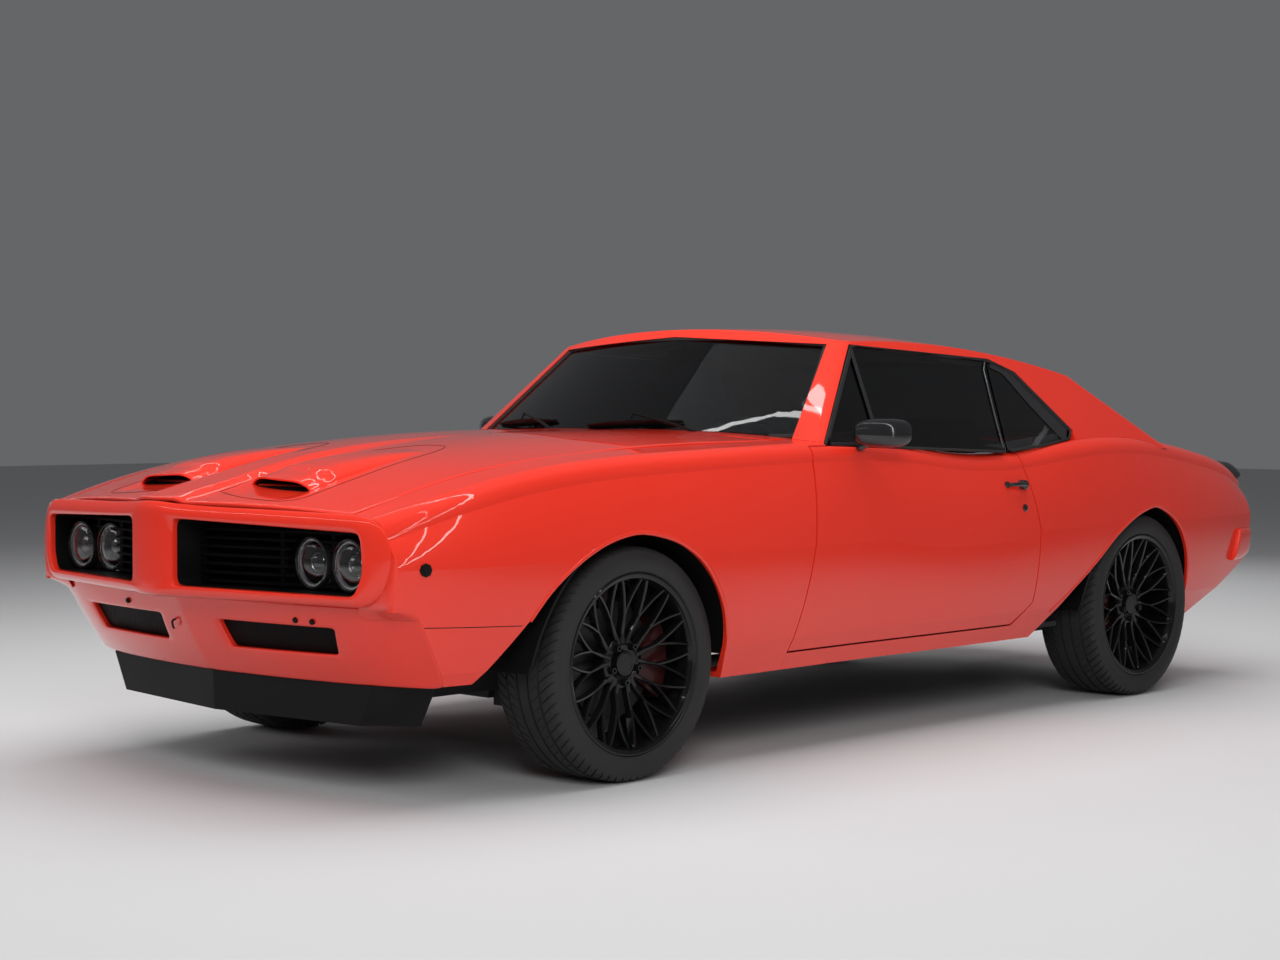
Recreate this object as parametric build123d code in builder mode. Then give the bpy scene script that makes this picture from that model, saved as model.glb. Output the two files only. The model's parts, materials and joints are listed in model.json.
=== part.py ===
"""Two-door hardtop muscle car, built as separate panels, glass, running gear and cabin pieces.

Millimetres. X runs to the car's left, Y to its rear and Z up, with the origin on the floor
below the middle of the car.
"""
import math
import os

from build123d import *

os.makedirs("parts", exist_ok=True)

# Driving dimensions of the whole car
WHEELBASE = 2746
FRONT_OVERHANG = 1080
REAR_OVERHANG = 1004
NOSE_Y = -(FRONT_OVERHANG + WHEELBASE + REAR_OVERHANG) / 2
FRONT_AXLE_Y = NOSE_Y + FRONT_OVERHANG
REAR_AXLE_Y = FRONT_AXLE_Y + WHEELBASE
TAIL_Y = REAR_AXLE_Y + REAR_OVERHANG
ROOF_Z = 1365
ROCKER_Z = 270

# Clearances: between panels that move, between seated pieces, and at a lid's leading edge
PANEL_GAP = 6
SEAT_GAP = 0.4
LID_GAP = 9

# Wheels and brakes
TYRE_R = 343
TYRE_WIDTH = 246
RIM_R = 266
RIM_WIDTH = 230
FRONT_TRACK_X = 752
REAR_TRACK_X = 769
STUB_R = 28
DISC_R = 168
KINGPIN_X = 705
SPOKE_COUNT = 15

# Sheet and wall thicknesses
SKIN = 16
HOOD_SKIN = 24
ROOF_WALL = 42
GLASS_INSET = 9
GLASS_THICK = 6
DOOR_INNER_X = 792
PLATE = 18


def front(offset):
    """A place along the car, measured from the front axle."""
    return FRONT_AXLE_Y + offset


def rear(offset):
    """A place along the car, measured from the rear axle."""
    return REAR_AXLE_Y + offset


def export(piece, name):
    """Label a finished piece and write it."""
    piece.part.label = name
    export_step(piece.part, f"parts/{name}.step")


def section_plane(y):
    """A plane across the car at one place, with its own X to the left and its own Y up."""
    return Plane(origin=(0, y, 0), x_dir=(1, 0, 0), z_dir=(0, -1, 0))


def block(x, y, z, mode=Mode.ADD):
    """A box from its low and high ends along each axis."""
    with Locations(((x[0] + x[1]) / 2, (y[0] + y[1]) / 2, (z[0] + z[1]) / 2)):
        Box(x[1] - x[0], y[1] - y[0], z[1] - z[0], mode=mode)


def side_prism(points, x, mode=Mode.ADD):
    """A side-view outline of (y, z) points, run across the car between two places."""
    with BuildSketch(Plane.YZ.offset(x[0])) as outline:
        with BuildLine():
            Polyline(*points, close=True)
        make_face()
    extrude(outline.sketch, amount=x[1] - x[0], mode=mode)


def plan_prism(points, z, mode=Mode.ADD):
    """A plan outline of (x, y) points, run up between two heights."""
    with BuildSketch(Plane.XY.offset(z[0])) as outline:
        with BuildLine():
            Polyline(*points, close=True)
        make_face()
    extrude(outline.sketch, amount=z[1] - z[0], mode=mode)


def front_prism(points, y, mode=Mode.ADD):
    """A front-view outline of (x, z) points, run along the car between two places."""
    with BuildSketch(section_plane(y[1])) as outline:
        with BuildLine():
            Polyline(*points, close=True)
        make_face()
    extrude(outline.sketch, amount=y[1] - y[0], mode=mode)


def across(points):
    """A half outline of (x, other) points from the middle outwards, completed on both sides."""
    return [(-x, other) for x, other in reversed(points) if x] + list(points)


# Body sections, front to rear: place, rocker x, sill x, waist x, shoulder x, shoulder z, centre z
BODY_STATIONS = [
    (front(-1080), 640, 690, 768, 742, 742, 806),
    (front(-880), 740, 790, 842, 812, 796, 852),
    (front(-520), 800, 850, 890, 848, 886, 932),
    (front(0), 838, 878, 910, 860, 946, 990),
    (front(700), 850, 886, 914, 864, 972, 1008),
    (front(1400), 850, 886, 906, 860, 957, 996),
    (rear(-700), 850, 886, 911, 868, 940, 996),
    (rear(-260), 850, 884, 921, 878, 976, 1004),
    (rear(150), 842, 878, 918, 862, 964, 985),
    (rear(560), 800, 848, 886, 826, 914, 942),
    (rear(950), 740, 788, 824, 772, 822, 858),
]
WAIST_Z = 655
SILL_Z = 370
SIDE_BULGE = 9
LOWER_BULGE = 10
SHOULDER_R = 62
CROWN_BULGE = 16
BODY_END_Y = BODY_STATIONS[-1][0]


def bulged(start, end, bulge):
    """The middle of an arc that stands out from its chord, to the right of the way it runs."""
    dx, dz = end[0] - start[0], end[1] - start[1]
    length = math.hypot(dx, dz)
    return (start[0] + end[0]) / 2 + bulge * dz / length, (start[1] + end[1]) / 2 - bulge * dx / length


def body_hull(inset):
    """The closed outer form of the lower body, or the same form set in from it."""
    with BuildPart() as hull:
        for y, rocker_x, sill_x, waist_x, shoulder_x, shoulder_z, centre_z in BODY_STATIONS:
            rocker = (rocker_x - inset, ROCKER_Z + inset)
            sill = (sill_x - inset, SILL_Z)
            waist = (waist_x - inset, WAIST_Z)
            shoulder = (shoulder_x - inset, shoulder_z - SHOULDER_R)
            deck = (shoulder_x - SHOULDER_R, shoulder_z - inset)
            turn = (SHOULDER_R - inset) * math.sqrt(0.5) - SHOULDER_R
            bend = (shoulder_x + turn, shoulder_z + turn)
            centre = (0, centre_z - inset)
            low = bulged(sill, waist, LOWER_BULGE)
            high = bulged(waist, shoulder, SIDE_BULGE)
            top = bulged(deck, centre, CROWN_BULGE)
            with BuildSketch(section_plane(y)):
                with BuildLine():
                    for side in (1, -1):
                        Line((side * rocker[0], rocker[1]), (side * sill[0], sill[1]))
                        for start, middle, end in ((sill, low, waist), (waist, high, shoulder),
                                                   (shoulder, bend, deck), (deck, top, centre)):
                            ThreePointArc(*((side * x, z) for x, z in (start, middle, end)))
                    Line((-rocker[0], rocker[1]), rocker)
                make_face()
        loft()
    return hull.part


# Glasshouse: side lean, then the windshield's and rear window's middles and corners at two heights
BELT_X = 836
BELT_Z = 962
SIDE_LEAN = 0.49
GLASS_LOW_Z = 930
GLASS_HIGH_Z = 1400
# Columns: height, windshield middle y, windshield corner y, rear window corner y, rear window middle y
GLASS_LEVELS = [
    (GLASS_LOW_Z, front(616), front(859), rear(263), rear(324)),
    (GLASS_HIGH_Z, front(1196), front(1317), rear(-592), rear(-531)),
]
WIND_SLOPE = 1.5
BACK_SLOPE = 2.08
CORNER_R = 46
ROOF_PEAK_Y = front(1465)
ROOF_LENGTH_R = 5500
ROOF_CROWN_R = 3960
ROOF_HALF = 950
ROOF_ARC_START = 13
ROOF_ARC_END = 22


def side_x(z):
    """How far out the glasshouse's side lies at a height."""
    return BELT_X - SIDE_LEAN * (z - BELT_Z)


def glasshouse(inset):
    """The closed form of roof, pillars and glass, or the same form set in from it."""
    lean = math.hypot(1, SIDE_LEAN)
    with BuildPart() as house:
        for z, wind_mid, wind_corner, back_corner, back_mid in GLASS_LEVELS:
            x = side_x(z) - inset * lean
            wind = inset * WIND_SLOPE
            back = inset * BACK_SLOPE
            with BuildSketch(Plane.XY.offset(z)):
                with BuildLine():
                    ThreePointArc((-x, wind_corner + wind), (0, wind_mid + wind), (x, wind_corner + wind))
                    Line((x, wind_corner + wind), (x, back_corner - back))
                    ThreePointArc((x, back_corner - back), (0, back_mid - back), (-x, back_corner - back))
                    Line((-x, back_corner - back), (-x, wind_corner + wind))
                make_face()
                fillet(vertices(), CORNER_R)
        loft(ruled=True)
        start = math.radians(-ROOF_ARC_START)
        pivot = (0, ROOF_PEAK_Y, ROOF_Z - ROOF_LENGTH_R)
        radius = ROOF_LENGTH_R - inset
        fall = ROOF_HALF ** 2 / (2 * ROOF_CROWN_R)
        low = radius - (ROOF_Z - GLASS_LOW_Z) * 1.8
        arc_plane = Plane(origin=pivot, x_dir=(1, 0, 0), z_dir=(0, -math.cos(start), math.sin(start)))
        with BuildSketch(arc_plane):
            with BuildLine():
                Line((-ROOF_HALF, low), (ROOF_HALF, low))
                Line((ROOF_HALF, low), (ROOF_HALF, radius - fall))
                ThreePointArc((ROOF_HALF, radius - fall), (0, radius), (-ROOF_HALF, radius - fall))
                Line((-ROOF_HALF, radius - fall), (-ROOF_HALF, low))
            make_face()
        revolve(axis=Axis(pivot, (-1, 0, 0)), revolution_arc=ROOF_ARC_START + ROOF_ARC_END, mode=Mode.INTERSECT)
    return house.part


hull = body_hull(0)
inner_hull = body_hull(SKIN)
seat_hull = body_hull(-SEAT_GAP)
liner_hull = body_hull(SKIN + SEAT_GAP)
lid_under = body_hull(HOOD_SKIN)
house = glasshouse(0)
inner_house = glasshouse(ROOF_WALL)
glass_outer = glasshouse(GLASS_INSET)
glass_inner = glasshouse(GLASS_INSET + GLASS_THICK)


# Door outline, as (y, z) on the left side: the leading edge, the foot and the trailing edge
BELT_FALL = 0.036
DOOR_FRONT_Y = front(770)
DOOR_REAR_Y = rear(-721)
DOOR_FOOT_Z = 328
HINGE_X = 916
POST_WALL = 16
STRIKER = {"y": 24, "z": (600, 640), "x": (838, 862)}


def belt_z(y):
    """The height of the door's and quarter's top edge at a place along the car."""
    return BELT_Z - BELT_FALL * (y - front(908))


def door_outline(grow):
    """The door's side-view outline, or the opening around it when grown by a gap."""
    top_front = DOOR_FRONT_Y + 52 - grow
    top_rear = DOOR_REAR_Y - 58 + grow
    return [
        (top_front, belt_z(top_front) + grow),
        (DOOR_FRONT_Y - grow, WAIST_Z),
        (DOOR_FRONT_Y - 88 - grow, DOOR_FOOT_Z - grow),
        (DOOR_REAR_Y - 130 + grow, DOOR_FOOT_Z - grow),
        (DOOR_REAR_Y - 22 + grow, SILL_Z + 30),
        (DOOR_REAR_Y + grow, WAIST_Z),
        (top_rear, belt_z(top_rear) + grow),
    ]


# Hood outline in plan, from the middle out: the nose line, then the side and the cowl line
HOOD_FRONT_X = 690
HOOD_FRONT_Y = front(-905)
NOSE_LINE = [(0, front(-1047)), (80, front(-1039)), (HOOD_FRONT_X, HOOD_FRONT_Y)]
FENDER_END = (900, front(-870))
HOOD_REAR_X = 742
HOOD_REAR_Y = front(769)
COWL_BOW = 169
PIN_R = 5
PIN_IN = 20
PIN_DEEP = 11
TAB_X = HOOD_REAR_X - 24
TAB_REAR_Y = HOOD_REAR_Y + 38
TAB_ROOT = 100
TAB_ROOM = 40
HOOD_PIN_Y = HOOD_REAR_Y + 26
TRUNK_PIN_BACK = 100
OUTSIDE_X = 1100
ABOVE_Z = 1500

# Wheel arches, as (y, z): the slanted lead-in, then points that two arcs run through
FRONT_ARCH = {
    "lead": [(front(-700), ROCKER_Z - 40), (front(-365), 572)],
    "crown": [(front(-185), 684), (front(0), 722)],
    "trail": [(front(258), 615), (front(370), 400)],
    "foot": (front(392), ROCKER_Z - 40),
}
REAR_ARCH = {
    "lead": [(rear(-760), ROCKER_Z - 40), (rear(-330), 540)],
    "crown": [(rear(-130), 664), (rear(60), 712)],
    "trail": [(rear(275), 590), (rear(352), 400)],
    "foot": (rear(362), ROCKER_Z - 40),
}


def top_z(x, y):
    """The height of the body's upper surface at a place."""
    needle = Pos(x, y, ABOVE_Z / 2) * Box(1, 1, ABOVE_Z, mode=Mode.PRIVATE)
    return (hull & needle).bounding_box().max.Z


HOOD_PIN = (HOOD_PIN_Y, top_z(HOOD_REAR_X, HOOD_PIN_Y) - PIN_DEEP)


def arch_cut(arch, x):
    """Cut one wheel arch through a panel."""
    with BuildSketch(Plane.YZ.offset(x[0])) as outline:
        with BuildLine():
            Line(arch["lead"][0], arch["lead"][1])
            ThreePointArc(arch["lead"][1], *arch["crown"])
            ThreePointArc(arch["crown"][1], *arch["trail"])
            Line(arch["trail"][1], arch["foot"])
            Line(arch["foot"], arch["lead"][0])
        make_face()
    extrude(outline.sketch, amount=x[1] - x[0], mode=Mode.SUBTRACT)


def hinge_pin(place, x, radius, mode=Mode.ADD):
    """A pin across the car at a place (y, z), or the hole for one."""
    with BuildSketch(Plane.YZ.offset(x[0])) as outline:
        with Locations(place):
            Circle(radius)
    extrude(outline.sketch, amount=x[1] - x[0], mode=mode)


def mirrored(piece, name):
    """The same piece on the car's right side."""
    with BuildPart() as other:
        add(piece.part.mirror(Plane.YZ))
    export(other, name)


# Front fender: the body's skin outboard of the hood, from the nose line to the door
with BuildPart() as fender:
    add(hull)
    add(inner_hull, mode=Mode.SUBTRACT)
    plan_prism([(HOOD_FRONT_X + PANEL_GAP, HOOD_FRONT_Y), FENDER_END, (OUTSIDE_X, FENDER_END[1] + 30),
                (OUTSIDE_X, DOOR_FRONT_Y + 200), (HOOD_REAR_X + PANEL_GAP, DOOR_FRONT_Y + 200),
                (HOOD_REAR_X + PANEL_GAP, HOOD_REAR_Y)], (0, ABOVE_Z), Mode.INTERSECT)
    edge = door_outline(PANEL_GAP)
    side_prism([(NOSE_Y, ABOVE_Z), (edge[0][0], ABOVE_Z), edge[0], edge[1], edge[2], (edge[2][0] - 8, ROCKER_Z),
                (front(-500), ROCKER_Z), (front(-560), 335), (front(-689), 335), (front(-815), 548), (NOSE_Y, 548)],
               (0, OUTSIDE_X), Mode.INTERSECT)
    arch_cut(FRONT_ARCH, (500, OUTSIDE_X))
    hinge_pin(HOOD_PIN, (HOOD_REAR_X - PIN_IN, HOOD_REAR_X + PANEL_GAP + 10), PIN_R)
export(fender, "fender_left")
mirrored(fender, "fender_right")

# Hood forms, raised over the skin: a spine behind the beak and a scoop on each side of it
# Spine columns: place along the car, half width, height over the hood
SPINE = [(front(-1030), 84, 12), (front(-760), 76, 18), (front(-260), 46, 11), (front(120), 24, 1)]
# Scoop columns: place along the car, inner x, outer x, height over the hood
SCOOP = [(front(-830), 140, 410, 34), (front(-640), 150, 400, 31), (front(-330), 190, 360, 1)]
SCOOP_WALL = 9
SCOOP_DEEP = 80
FORM_SINK = 14
FORM_FLARE = 14


def form_section(y, inner, outer, height):
    """A raised form's section across the hood: a sunk foot, flared sides and a top along the hood."""
    rises = ((inner - FORM_FLARE, -FORM_SINK), (inner, height), (outer, height), (outer + FORM_FLARE, -FORM_SINK))
    points = [(x, top_z(x, y) + rise) for x, rise in rises]
    with BuildSketch(section_plane(y)) as outline:
        with BuildLine():
            Polyline(*points, close=True)
        make_face()
    return outline.sketch


with BuildPart() as scoop:
    loft([form_section(*row) for row in SCOOP], ruled=True)
    mouth_y, mouth_in, mouth_out, mouth_high = SCOOP[0]
    mouth_x = (mouth_in + SCOOP_WALL, mouth_out - SCOOP_WALL)
with BuildPart() as spine:
    loft([form_section(y, -half, half, height) for y, half, height in SPINE], ruled=True)

# Hood: the skin between the fenders with its raised forms, and a hinge tab at each rear corner
with BuildPart() as hood:
    add(hull)
    add(lid_under, mode=Mode.SUBTRACT)
    with BuildSketch(Plane.XY.offset(700)):
        with BuildLine():
            Polyline(*across(NOSE_LINE))
            Line(NOSE_LINE[-1], (HOOD_REAR_X, HOOD_REAR_Y))
            ThreePointArc((HOOD_REAR_X, HOOD_REAR_Y), (0, HOOD_REAR_Y - COWL_BOW), (-HOOD_REAR_X, HOOD_REAR_Y))
            Line((-HOOD_REAR_X, HOOD_REAR_Y), (-NOSE_LINE[-1][0], NOSE_LINE[-1][1]))
        make_face()
        for side in (1, -1):
            with Locations((side * (TAB_X + HOOD_REAR_X) / 2, TAB_REAR_Y)):
                Rectangle(HOOD_REAR_X - TAB_X, TAB_ROOT, align=(Align.CENTER, Align.MAX))
    extrude(amount=ABOVE_Z - 700, mode=Mode.INTERSECT)
    add(spine.part)
    add(scoop.part)
    add(scoop.part.mirror(Plane.YZ))
    for side in (1, -1):
        mouth = [(side * x, top_z(x, mouth_y) + lift) for x, lift in (
            (mouth_x[0], 2), (mouth_x[1], 2), (mouth_x[1], mouth_high - SCOOP_WALL), (mouth_x[0], mouth_high - SCOOP_WALL))]
        front_prism(mouth, (mouth_y - 20, mouth_y + SCOOP_DEEP), Mode.SUBTRACT)
        hinge_pin(HOOD_PIN, sorted((side * (TAB_X - 2), side * (HOOD_REAR_X + 2))), PIN_R + SEAT_GAP, Mode.SUBTRACT)
export(hood, "hood")

# Door: as thick as the whole door, notched at its top front corner for the pillar's foot
PILLAR_FOOT = {"out_x": 842, "rear_y": front(912), "low_z": 880}
with BuildPart() as door:
    add(hull)
    side_prism(door_outline(0), (DOOR_INNER_X, OUTSIDE_X), Mode.INTERSECT)
    block((0, PILLAR_FOOT["out_x"]), (DOOR_FRONT_Y - 200, PILLAR_FOOT["rear_y"]),
          (PILLAR_FOOT["low_z"], ABOVE_Z), Mode.SUBTRACT)
    plan_prism([(HINGE_X, DOOR_REAR_Y), (HINGE_X, DOOR_REAR_Y + 100), (DOOR_INNER_X - 60, DOOR_REAR_Y + 100),
                (DOOR_INNER_X - 60, DOOR_REAR_Y - 24)], (0, ABOVE_Z), Mode.SUBTRACT)
    block((DOOR_INNER_X - 10, STRIKER["x"][1] + PANEL_GAP), (DOOR_REAR_Y - STRIKER["y"] - 20, DOOR_REAR_Y + 30),
          (STRIKER["z"][0] - SEAT_GAP, STRIKER["z"][1] + SEAT_GAP), Mode.SUBTRACT)
export(door, "door_left")
mirrored(door, "door_right")

# Rockers: the sill below each door, from the fender to the quarter panel
with BuildPart() as rockers:
    add(hull)
    sill = door_outline(PANEL_GAP)
    side_prism([(sill[2][0] - 7, ROCKER_Z), (sill[2][0], sill[2][1]), sill[3], sill[4], (sill[4][0], ROCKER_Z)],
               (DOOR_INNER_X - 20, OUTSIDE_X), Mode.INTERSECT)
    mirror(about=Plane.YZ)
export(rockers, "rockers")

# Trunk outline in plan
TRUNK_X = 610
TRUNK_FRONT_Y = rear(330)
LID_LOW_Z = 770
TRUNK_PIN_Y = TRUNK_FRONT_Y + TRUNK_PIN_BACK
TRUNK_PIN = (TRUNK_PIN_Y, top_z(TRUNK_X, TRUNK_PIN_Y) - PIN_DEEP)

# Lock post: the jamb behind the door, with the striker that its latch closes on
with BuildPart() as lock_post:
    add(hull)
    edge = door_outline(PANEL_GAP)
    jamb = [(y, min(z, belt_z(y) - 8)) for y, z in edge[4:]]
    side_prism(jamb + [(y + POST_WALL, z) for y, z in reversed(jamb)],
               (DOOR_INNER_X, OUTSIDE_X), Mode.INTERSECT)
    block(STRIKER["x"], (DOOR_REAR_Y - STRIKER["y"], DOOR_REAR_Y + PANEL_GAP + 8), STRIKER["z"])

# Quarter panel: the skin behind the door, outboard of the rear deck and the trunk lid
with BuildPart() as quarter:
    add(hull)
    add(inner_hull, mode=Mode.SUBTRACT)
    edge = door_outline(PANEL_GAP)
    side_prism([(edge[3][0] + 300, ROCKER_Z), (edge[4][0] + SEAT_GAP, ROCKER_Z), (edge[4][0] + SEAT_GAP, edge[4][1]),
                edge[5], edge[6], (edge[6][0], ABOVE_Z), (BODY_END_Y, ABOVE_Z), (BODY_END_Y, 490),
                (rear(420), ROCKER_Z)], (TRUNK_X + PANEL_GAP, OUTSIDE_X), Mode.INTERSECT)
    block((0, 700), (edge[6][0] - 100, rear(0)), (0, ABOVE_Z), Mode.SUBTRACT)
    block((0, DOOR_INNER_X - 20), (edge[6][0] - 100, rear(0)), (0, SILL_Z), Mode.SUBTRACT)
    arch_cut(REAR_ARCH, (500, OUTSIDE_X))
    add(lock_post.part)
    hinge_pin(TRUNK_PIN, (TRUNK_X - PIN_IN, TRUNK_X + PANEL_GAP + 10), PIN_R)
export(quarter, "quarter_left")
mirrored(quarter, "quarter_right")

# Trunk lid: the skin between the quarter panels, down over the tail's top edge
with BuildPart() as trunk_lid:
    add(hull)
    add(lid_under, mode=Mode.SUBTRACT)
    block((-TRUNK_X, TRUNK_X), (TRUNK_FRONT_Y, TAIL_Y), (LID_LOW_Z, ABOVE_Z), Mode.INTERSECT)
    for side in (1, -1):
        hinge_pin(TRUNK_PIN, sorted((side * (TRUNK_X - PIN_IN - 2), side * (TRUNK_X + 2))),
                  PIN_R + SEAT_GAP, Mode.SUBTRACT)
export(trunk_lid, "trunk_lid")

# Rear deck: the fixed panel between rear window and trunk lid
with BuildPart() as rear_deck:
    add(hull)
    add(inner_hull, mode=Mode.SUBTRACT)
    block((-TRUNK_X - PANEL_GAP + SEAT_GAP, TRUNK_X + PANEL_GAP - SEAT_GAP),
          (rear(0) + SEAT_GAP, TRUNK_FRONT_Y - LID_GAP), (LID_LOW_Z, ABOVE_Z), Mode.INTERSECT)
export(rear_deck, "rear_deck")

# Glass openings: the side windows as (y, z), the windshield and the rear window as (x, z)
DOOR_GLASS = [(front(908), belt_z(front(908)) + SEAT_GAP), (front(1239), 1287), (rear(-748), 1252),
              (rear(-838), belt_z(rear(-838)) + SEAT_GAP)]
QUARTER_GLASS = [(rear(-826), 930), (rear(-738), 1250), (rear(-600), 1208), (rear(-380), 1002), (rear(-402), 968)]
SIDE_OPENING = [(front(896), 960), (front(1232), 1295), (rear(-736), 1260), (rear(-596), 1214), (rear(-372), 1002),
                (rear(-390), 880), (front(840), 880)]
WIND_GLASS = [(0, 984), (735, 984), (612, 1296), (0, 1330)]
BACK_GLASS = [(0, 972), (610, 966), (500, 1236), (0, 1262)]

# Roof: the shell of the glasshouse with its windows cut, standing on the body
with BuildPart() as roof:
    add(house)
    add(inner_house, mode=Mode.SUBTRACT)
    side_prism(SIDE_OPENING, (400, OUTSIDE_X), Mode.SUBTRACT)
    side_prism(SIDE_OPENING, (-OUTSIDE_X, -400), Mode.SUBTRACT)
    front_prism(across(WIND_GLASS), (NOSE_Y, front(1500)), Mode.SUBTRACT)
    front_prism(across(BACK_GLASS), (rear(-700), TAIL_Y), Mode.SUBTRACT)
    add(seat_hull, mode=Mode.SUBTRACT)
export(roof, "roof")


def pane(outline, span, name):
    """The windshield or the rear window: the glasshouse's glass layer inside a front-view outline."""
    with BuildPart() as glass:
        add(glass_outer)
        add(glass_inner, mode=Mode.SUBTRACT)
        front_prism(outline, span, Mode.INTERSECT)
        add(seat_hull, mode=Mode.SUBTRACT)
    export(glass, name)


def shrunk(points, gap):
    """A window's outline, drawn in towards its middle by about a gap."""
    middle_a = sum(a for a, b in points) / len(points)
    middle_b = sum(b for a, b in points) / len(points)
    moved = []
    for a, b in points:
        reach = math.hypot(a - middle_a, b - middle_b)
        share = 1 - gap / reach
        moved.append((middle_a + (a - middle_a) * share, middle_b + (b - middle_b) * share))
    return moved


pane(shrunk(across(WIND_GLASS), 2 * SEAT_GAP), (NOSE_Y, front(1500)), "windshield")
pane(shrunk(across(BACK_GLASS), 2 * SEAT_GAP), (rear(-700), TAIL_Y), "rear_window")
with BuildPart() as door_pane:
    add(glass_outer)
    add(glass_inner, mode=Mode.SUBTRACT)
    side_prism(DOOR_GLASS, (400, OUTSIDE_X), Mode.INTERSECT)
export(door_pane, "door_glass_left")
mirrored(door_pane, "door_glass_right")
with BuildPart() as quarter_glass:
    add(glass_outer)
    add(glass_inner, mode=Mode.SUBTRACT)
    side_prism(QUARTER_GLASS, (400, OUTSIDE_X), Mode.INTERSECT)
    add(seat_hull, mode=Mode.SUBTRACT)
    mirror(about=Plane.YZ)
export(quarter_glass, "quarter_glass")

# Cowl: the panel behind the hood, the firewall below it and the two hinge pillars
FIREWALL_Y = (front(780), front(798))
COWL_X = HOOD_REAR_X + PANEL_GAP - SEAT_GAP
TUNNEL_X = 150
TUNNEL_Z = 455
FLOOR_Z = 302
FLOOR_BASE_Z = FLOOR_Z - PLATE
with BuildPart() as cowl:
    add(hull)
    add(inner_hull, mode=Mode.SUBTRACT)
    with BuildSketch(Plane.XY.offset(LID_LOW_Z)):
        with BuildLine():
            Line((COWL_X, HOOD_REAR_Y + LID_GAP), (COWL_X, HOOD_REAR_Y + 130))
            ThreePointArc((COWL_X, HOOD_REAR_Y + 130), (0, HOOD_REAR_Y - COWL_BOW + 150), (-COWL_X, HOOD_REAR_Y + 130))
            Line((-COWL_X, HOOD_REAR_Y + 130), (-COWL_X, HOOD_REAR_Y + LID_GAP))
            ThreePointArc((-COWL_X, HOOD_REAR_Y + LID_GAP), (0, HOOD_REAR_Y - COWL_BOW + LID_GAP),
                          (COWL_X, HOOD_REAR_Y + LID_GAP))
        make_face()
    extrude(amount=ABOVE_Z - LID_LOW_Z, mode=Mode.INTERSECT)
with BuildPart() as firewall:
    block((-COWL_X, COWL_X), FIREWALL_Y, (FLOOR_BASE_Z, ABOVE_Z))
    for side in (1, -1):
        block(sorted((side * 690, side * COWL_X)), (front(780), front(890)), (FLOOR_Z + SEAT_GAP, ABOVE_Z))
        block(sorted((side * 690, side * (PILLAR_FOOT["out_x"] - PANEL_GAP))),
              (DOOR_FRONT_Y + 52 - PANEL_GAP + SEAT_GAP, PILLAR_FOOT["rear_y"] - PANEL_GAP),
              (PILLAR_FOOT["low_z"] + PANEL_GAP, ABOVE_Z))
    block((-TUNNEL_X, TUNNEL_X), FIREWALL_Y, (0, TUNNEL_Z), Mode.SUBTRACT)
    add(hull, mode=Mode.INTERSECT)
    add(cowl.part)
    for side in (1, -1):
        block(sorted((side * (TAB_X - PANEL_GAP), side * OUTSIDE_X)), (NOSE_Y, TAB_REAR_Y + LID_GAP),
              (HOOD_PIN[1] - TAB_ROOM, ABOVE_Z), Mode.SUBTRACT)
export(firewall, "cowl")

# Front bumper: a loop round two grille openings, with a beak in the middle
BUMPER_FACE = [(0, NOSE_Y), (60, NOSE_Y + 3), (96, NOSE_Y + 18), (743, NOSE_Y + 153), (800, NOSE_Y + 172), (832, NOSE_Y + 188)]
BUMPER_LOW_Z = 552
BUMPER_DEEP_Z = 752
BUMPER_TOP_Z = 812
BUMPER_OUTLINE = [(0, BUMPER_LOW_Z), (742, BUMPER_LOW_Z + 4), (792, 590), (834, 665), (828, 722), (794, 780),
                  (HOOD_FRONT_X, 801), (0, BUMPER_TOP_Z)]
GRILLE_OPENING = [(95, 588), (722, 584), (748, 640), (744, 755), (95, 774)]
BUMPER_BACK = [(0, front(-935)), (750, front(-795))]
FENDER_SLOPE = (FENDER_END[1] - HOOD_FRONT_Y) / (FENDER_END[0] - HOOD_FRONT_X - PANEL_GAP)


def fender_nose(x):
    """How far forward the fender's front edge reaches at a distance from the middle."""
    return HOOD_FRONT_Y + FENDER_SLOPE * (x - HOOD_FRONT_X - PANEL_GAP) - SEAT_GAP


with BuildPart() as front_bumper:
    bar_back = [(840, fender_nose(840)), (HOOD_FRONT_X + PANEL_GAP, fender_nose(HOOD_FRONT_X + PANEL_GAP))]
    bar_back += [(x, y - LID_GAP) for x, y in reversed(NOSE_LINE)]
    half = BUMPER_FACE + bar_back[:-1]
    plan_prism([(-x, y) for x, y in reversed(half) if x] + half + [bar_back[-1]], (BUMPER_LOW_Z, BUMPER_TOP_Z))
    half = BUMPER_FACE + [(838, fender_nose(838)), (750, fender_nose(750)), BUMPER_BACK[1]]
    plan_prism([(-x, y) for x, y in reversed(half) if x] + half + [BUMPER_BACK[0]], (BUMPER_LOW_Z, BUMPER_DEEP_Z))
    front_prism(across(BUMPER_OUTLINE), (NOSE_Y - 10, front(-700)), Mode.INTERSECT)
    for side in (1, -1):
        front_prism([(side * x, z) for x, z in GRILLE_OPENING], (NOSE_Y - 10, front(-700)), Mode.SUBTRACT)
export(front_bumper, "front_bumper")

# Headlamps, two in each opening: distance from the middle, then place of the face
LAMP_R = 73
LAMP_Z = 661
LAMP_X = (484, 645)
LAMP_Y = (front(-871), front(-790))
with BuildPart() as headlamps:
    for x in LAMP_X:
        for side in (1, -1):
            with BuildSketch(section_plane(LAMP_Y[1])):
                with Locations((side * x, LAMP_Z)):
                    Circle(LAMP_R)
            extrude(amount=LAMP_Y[1] - LAMP_Y[0])
export(headlamps, "headlamps")

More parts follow.
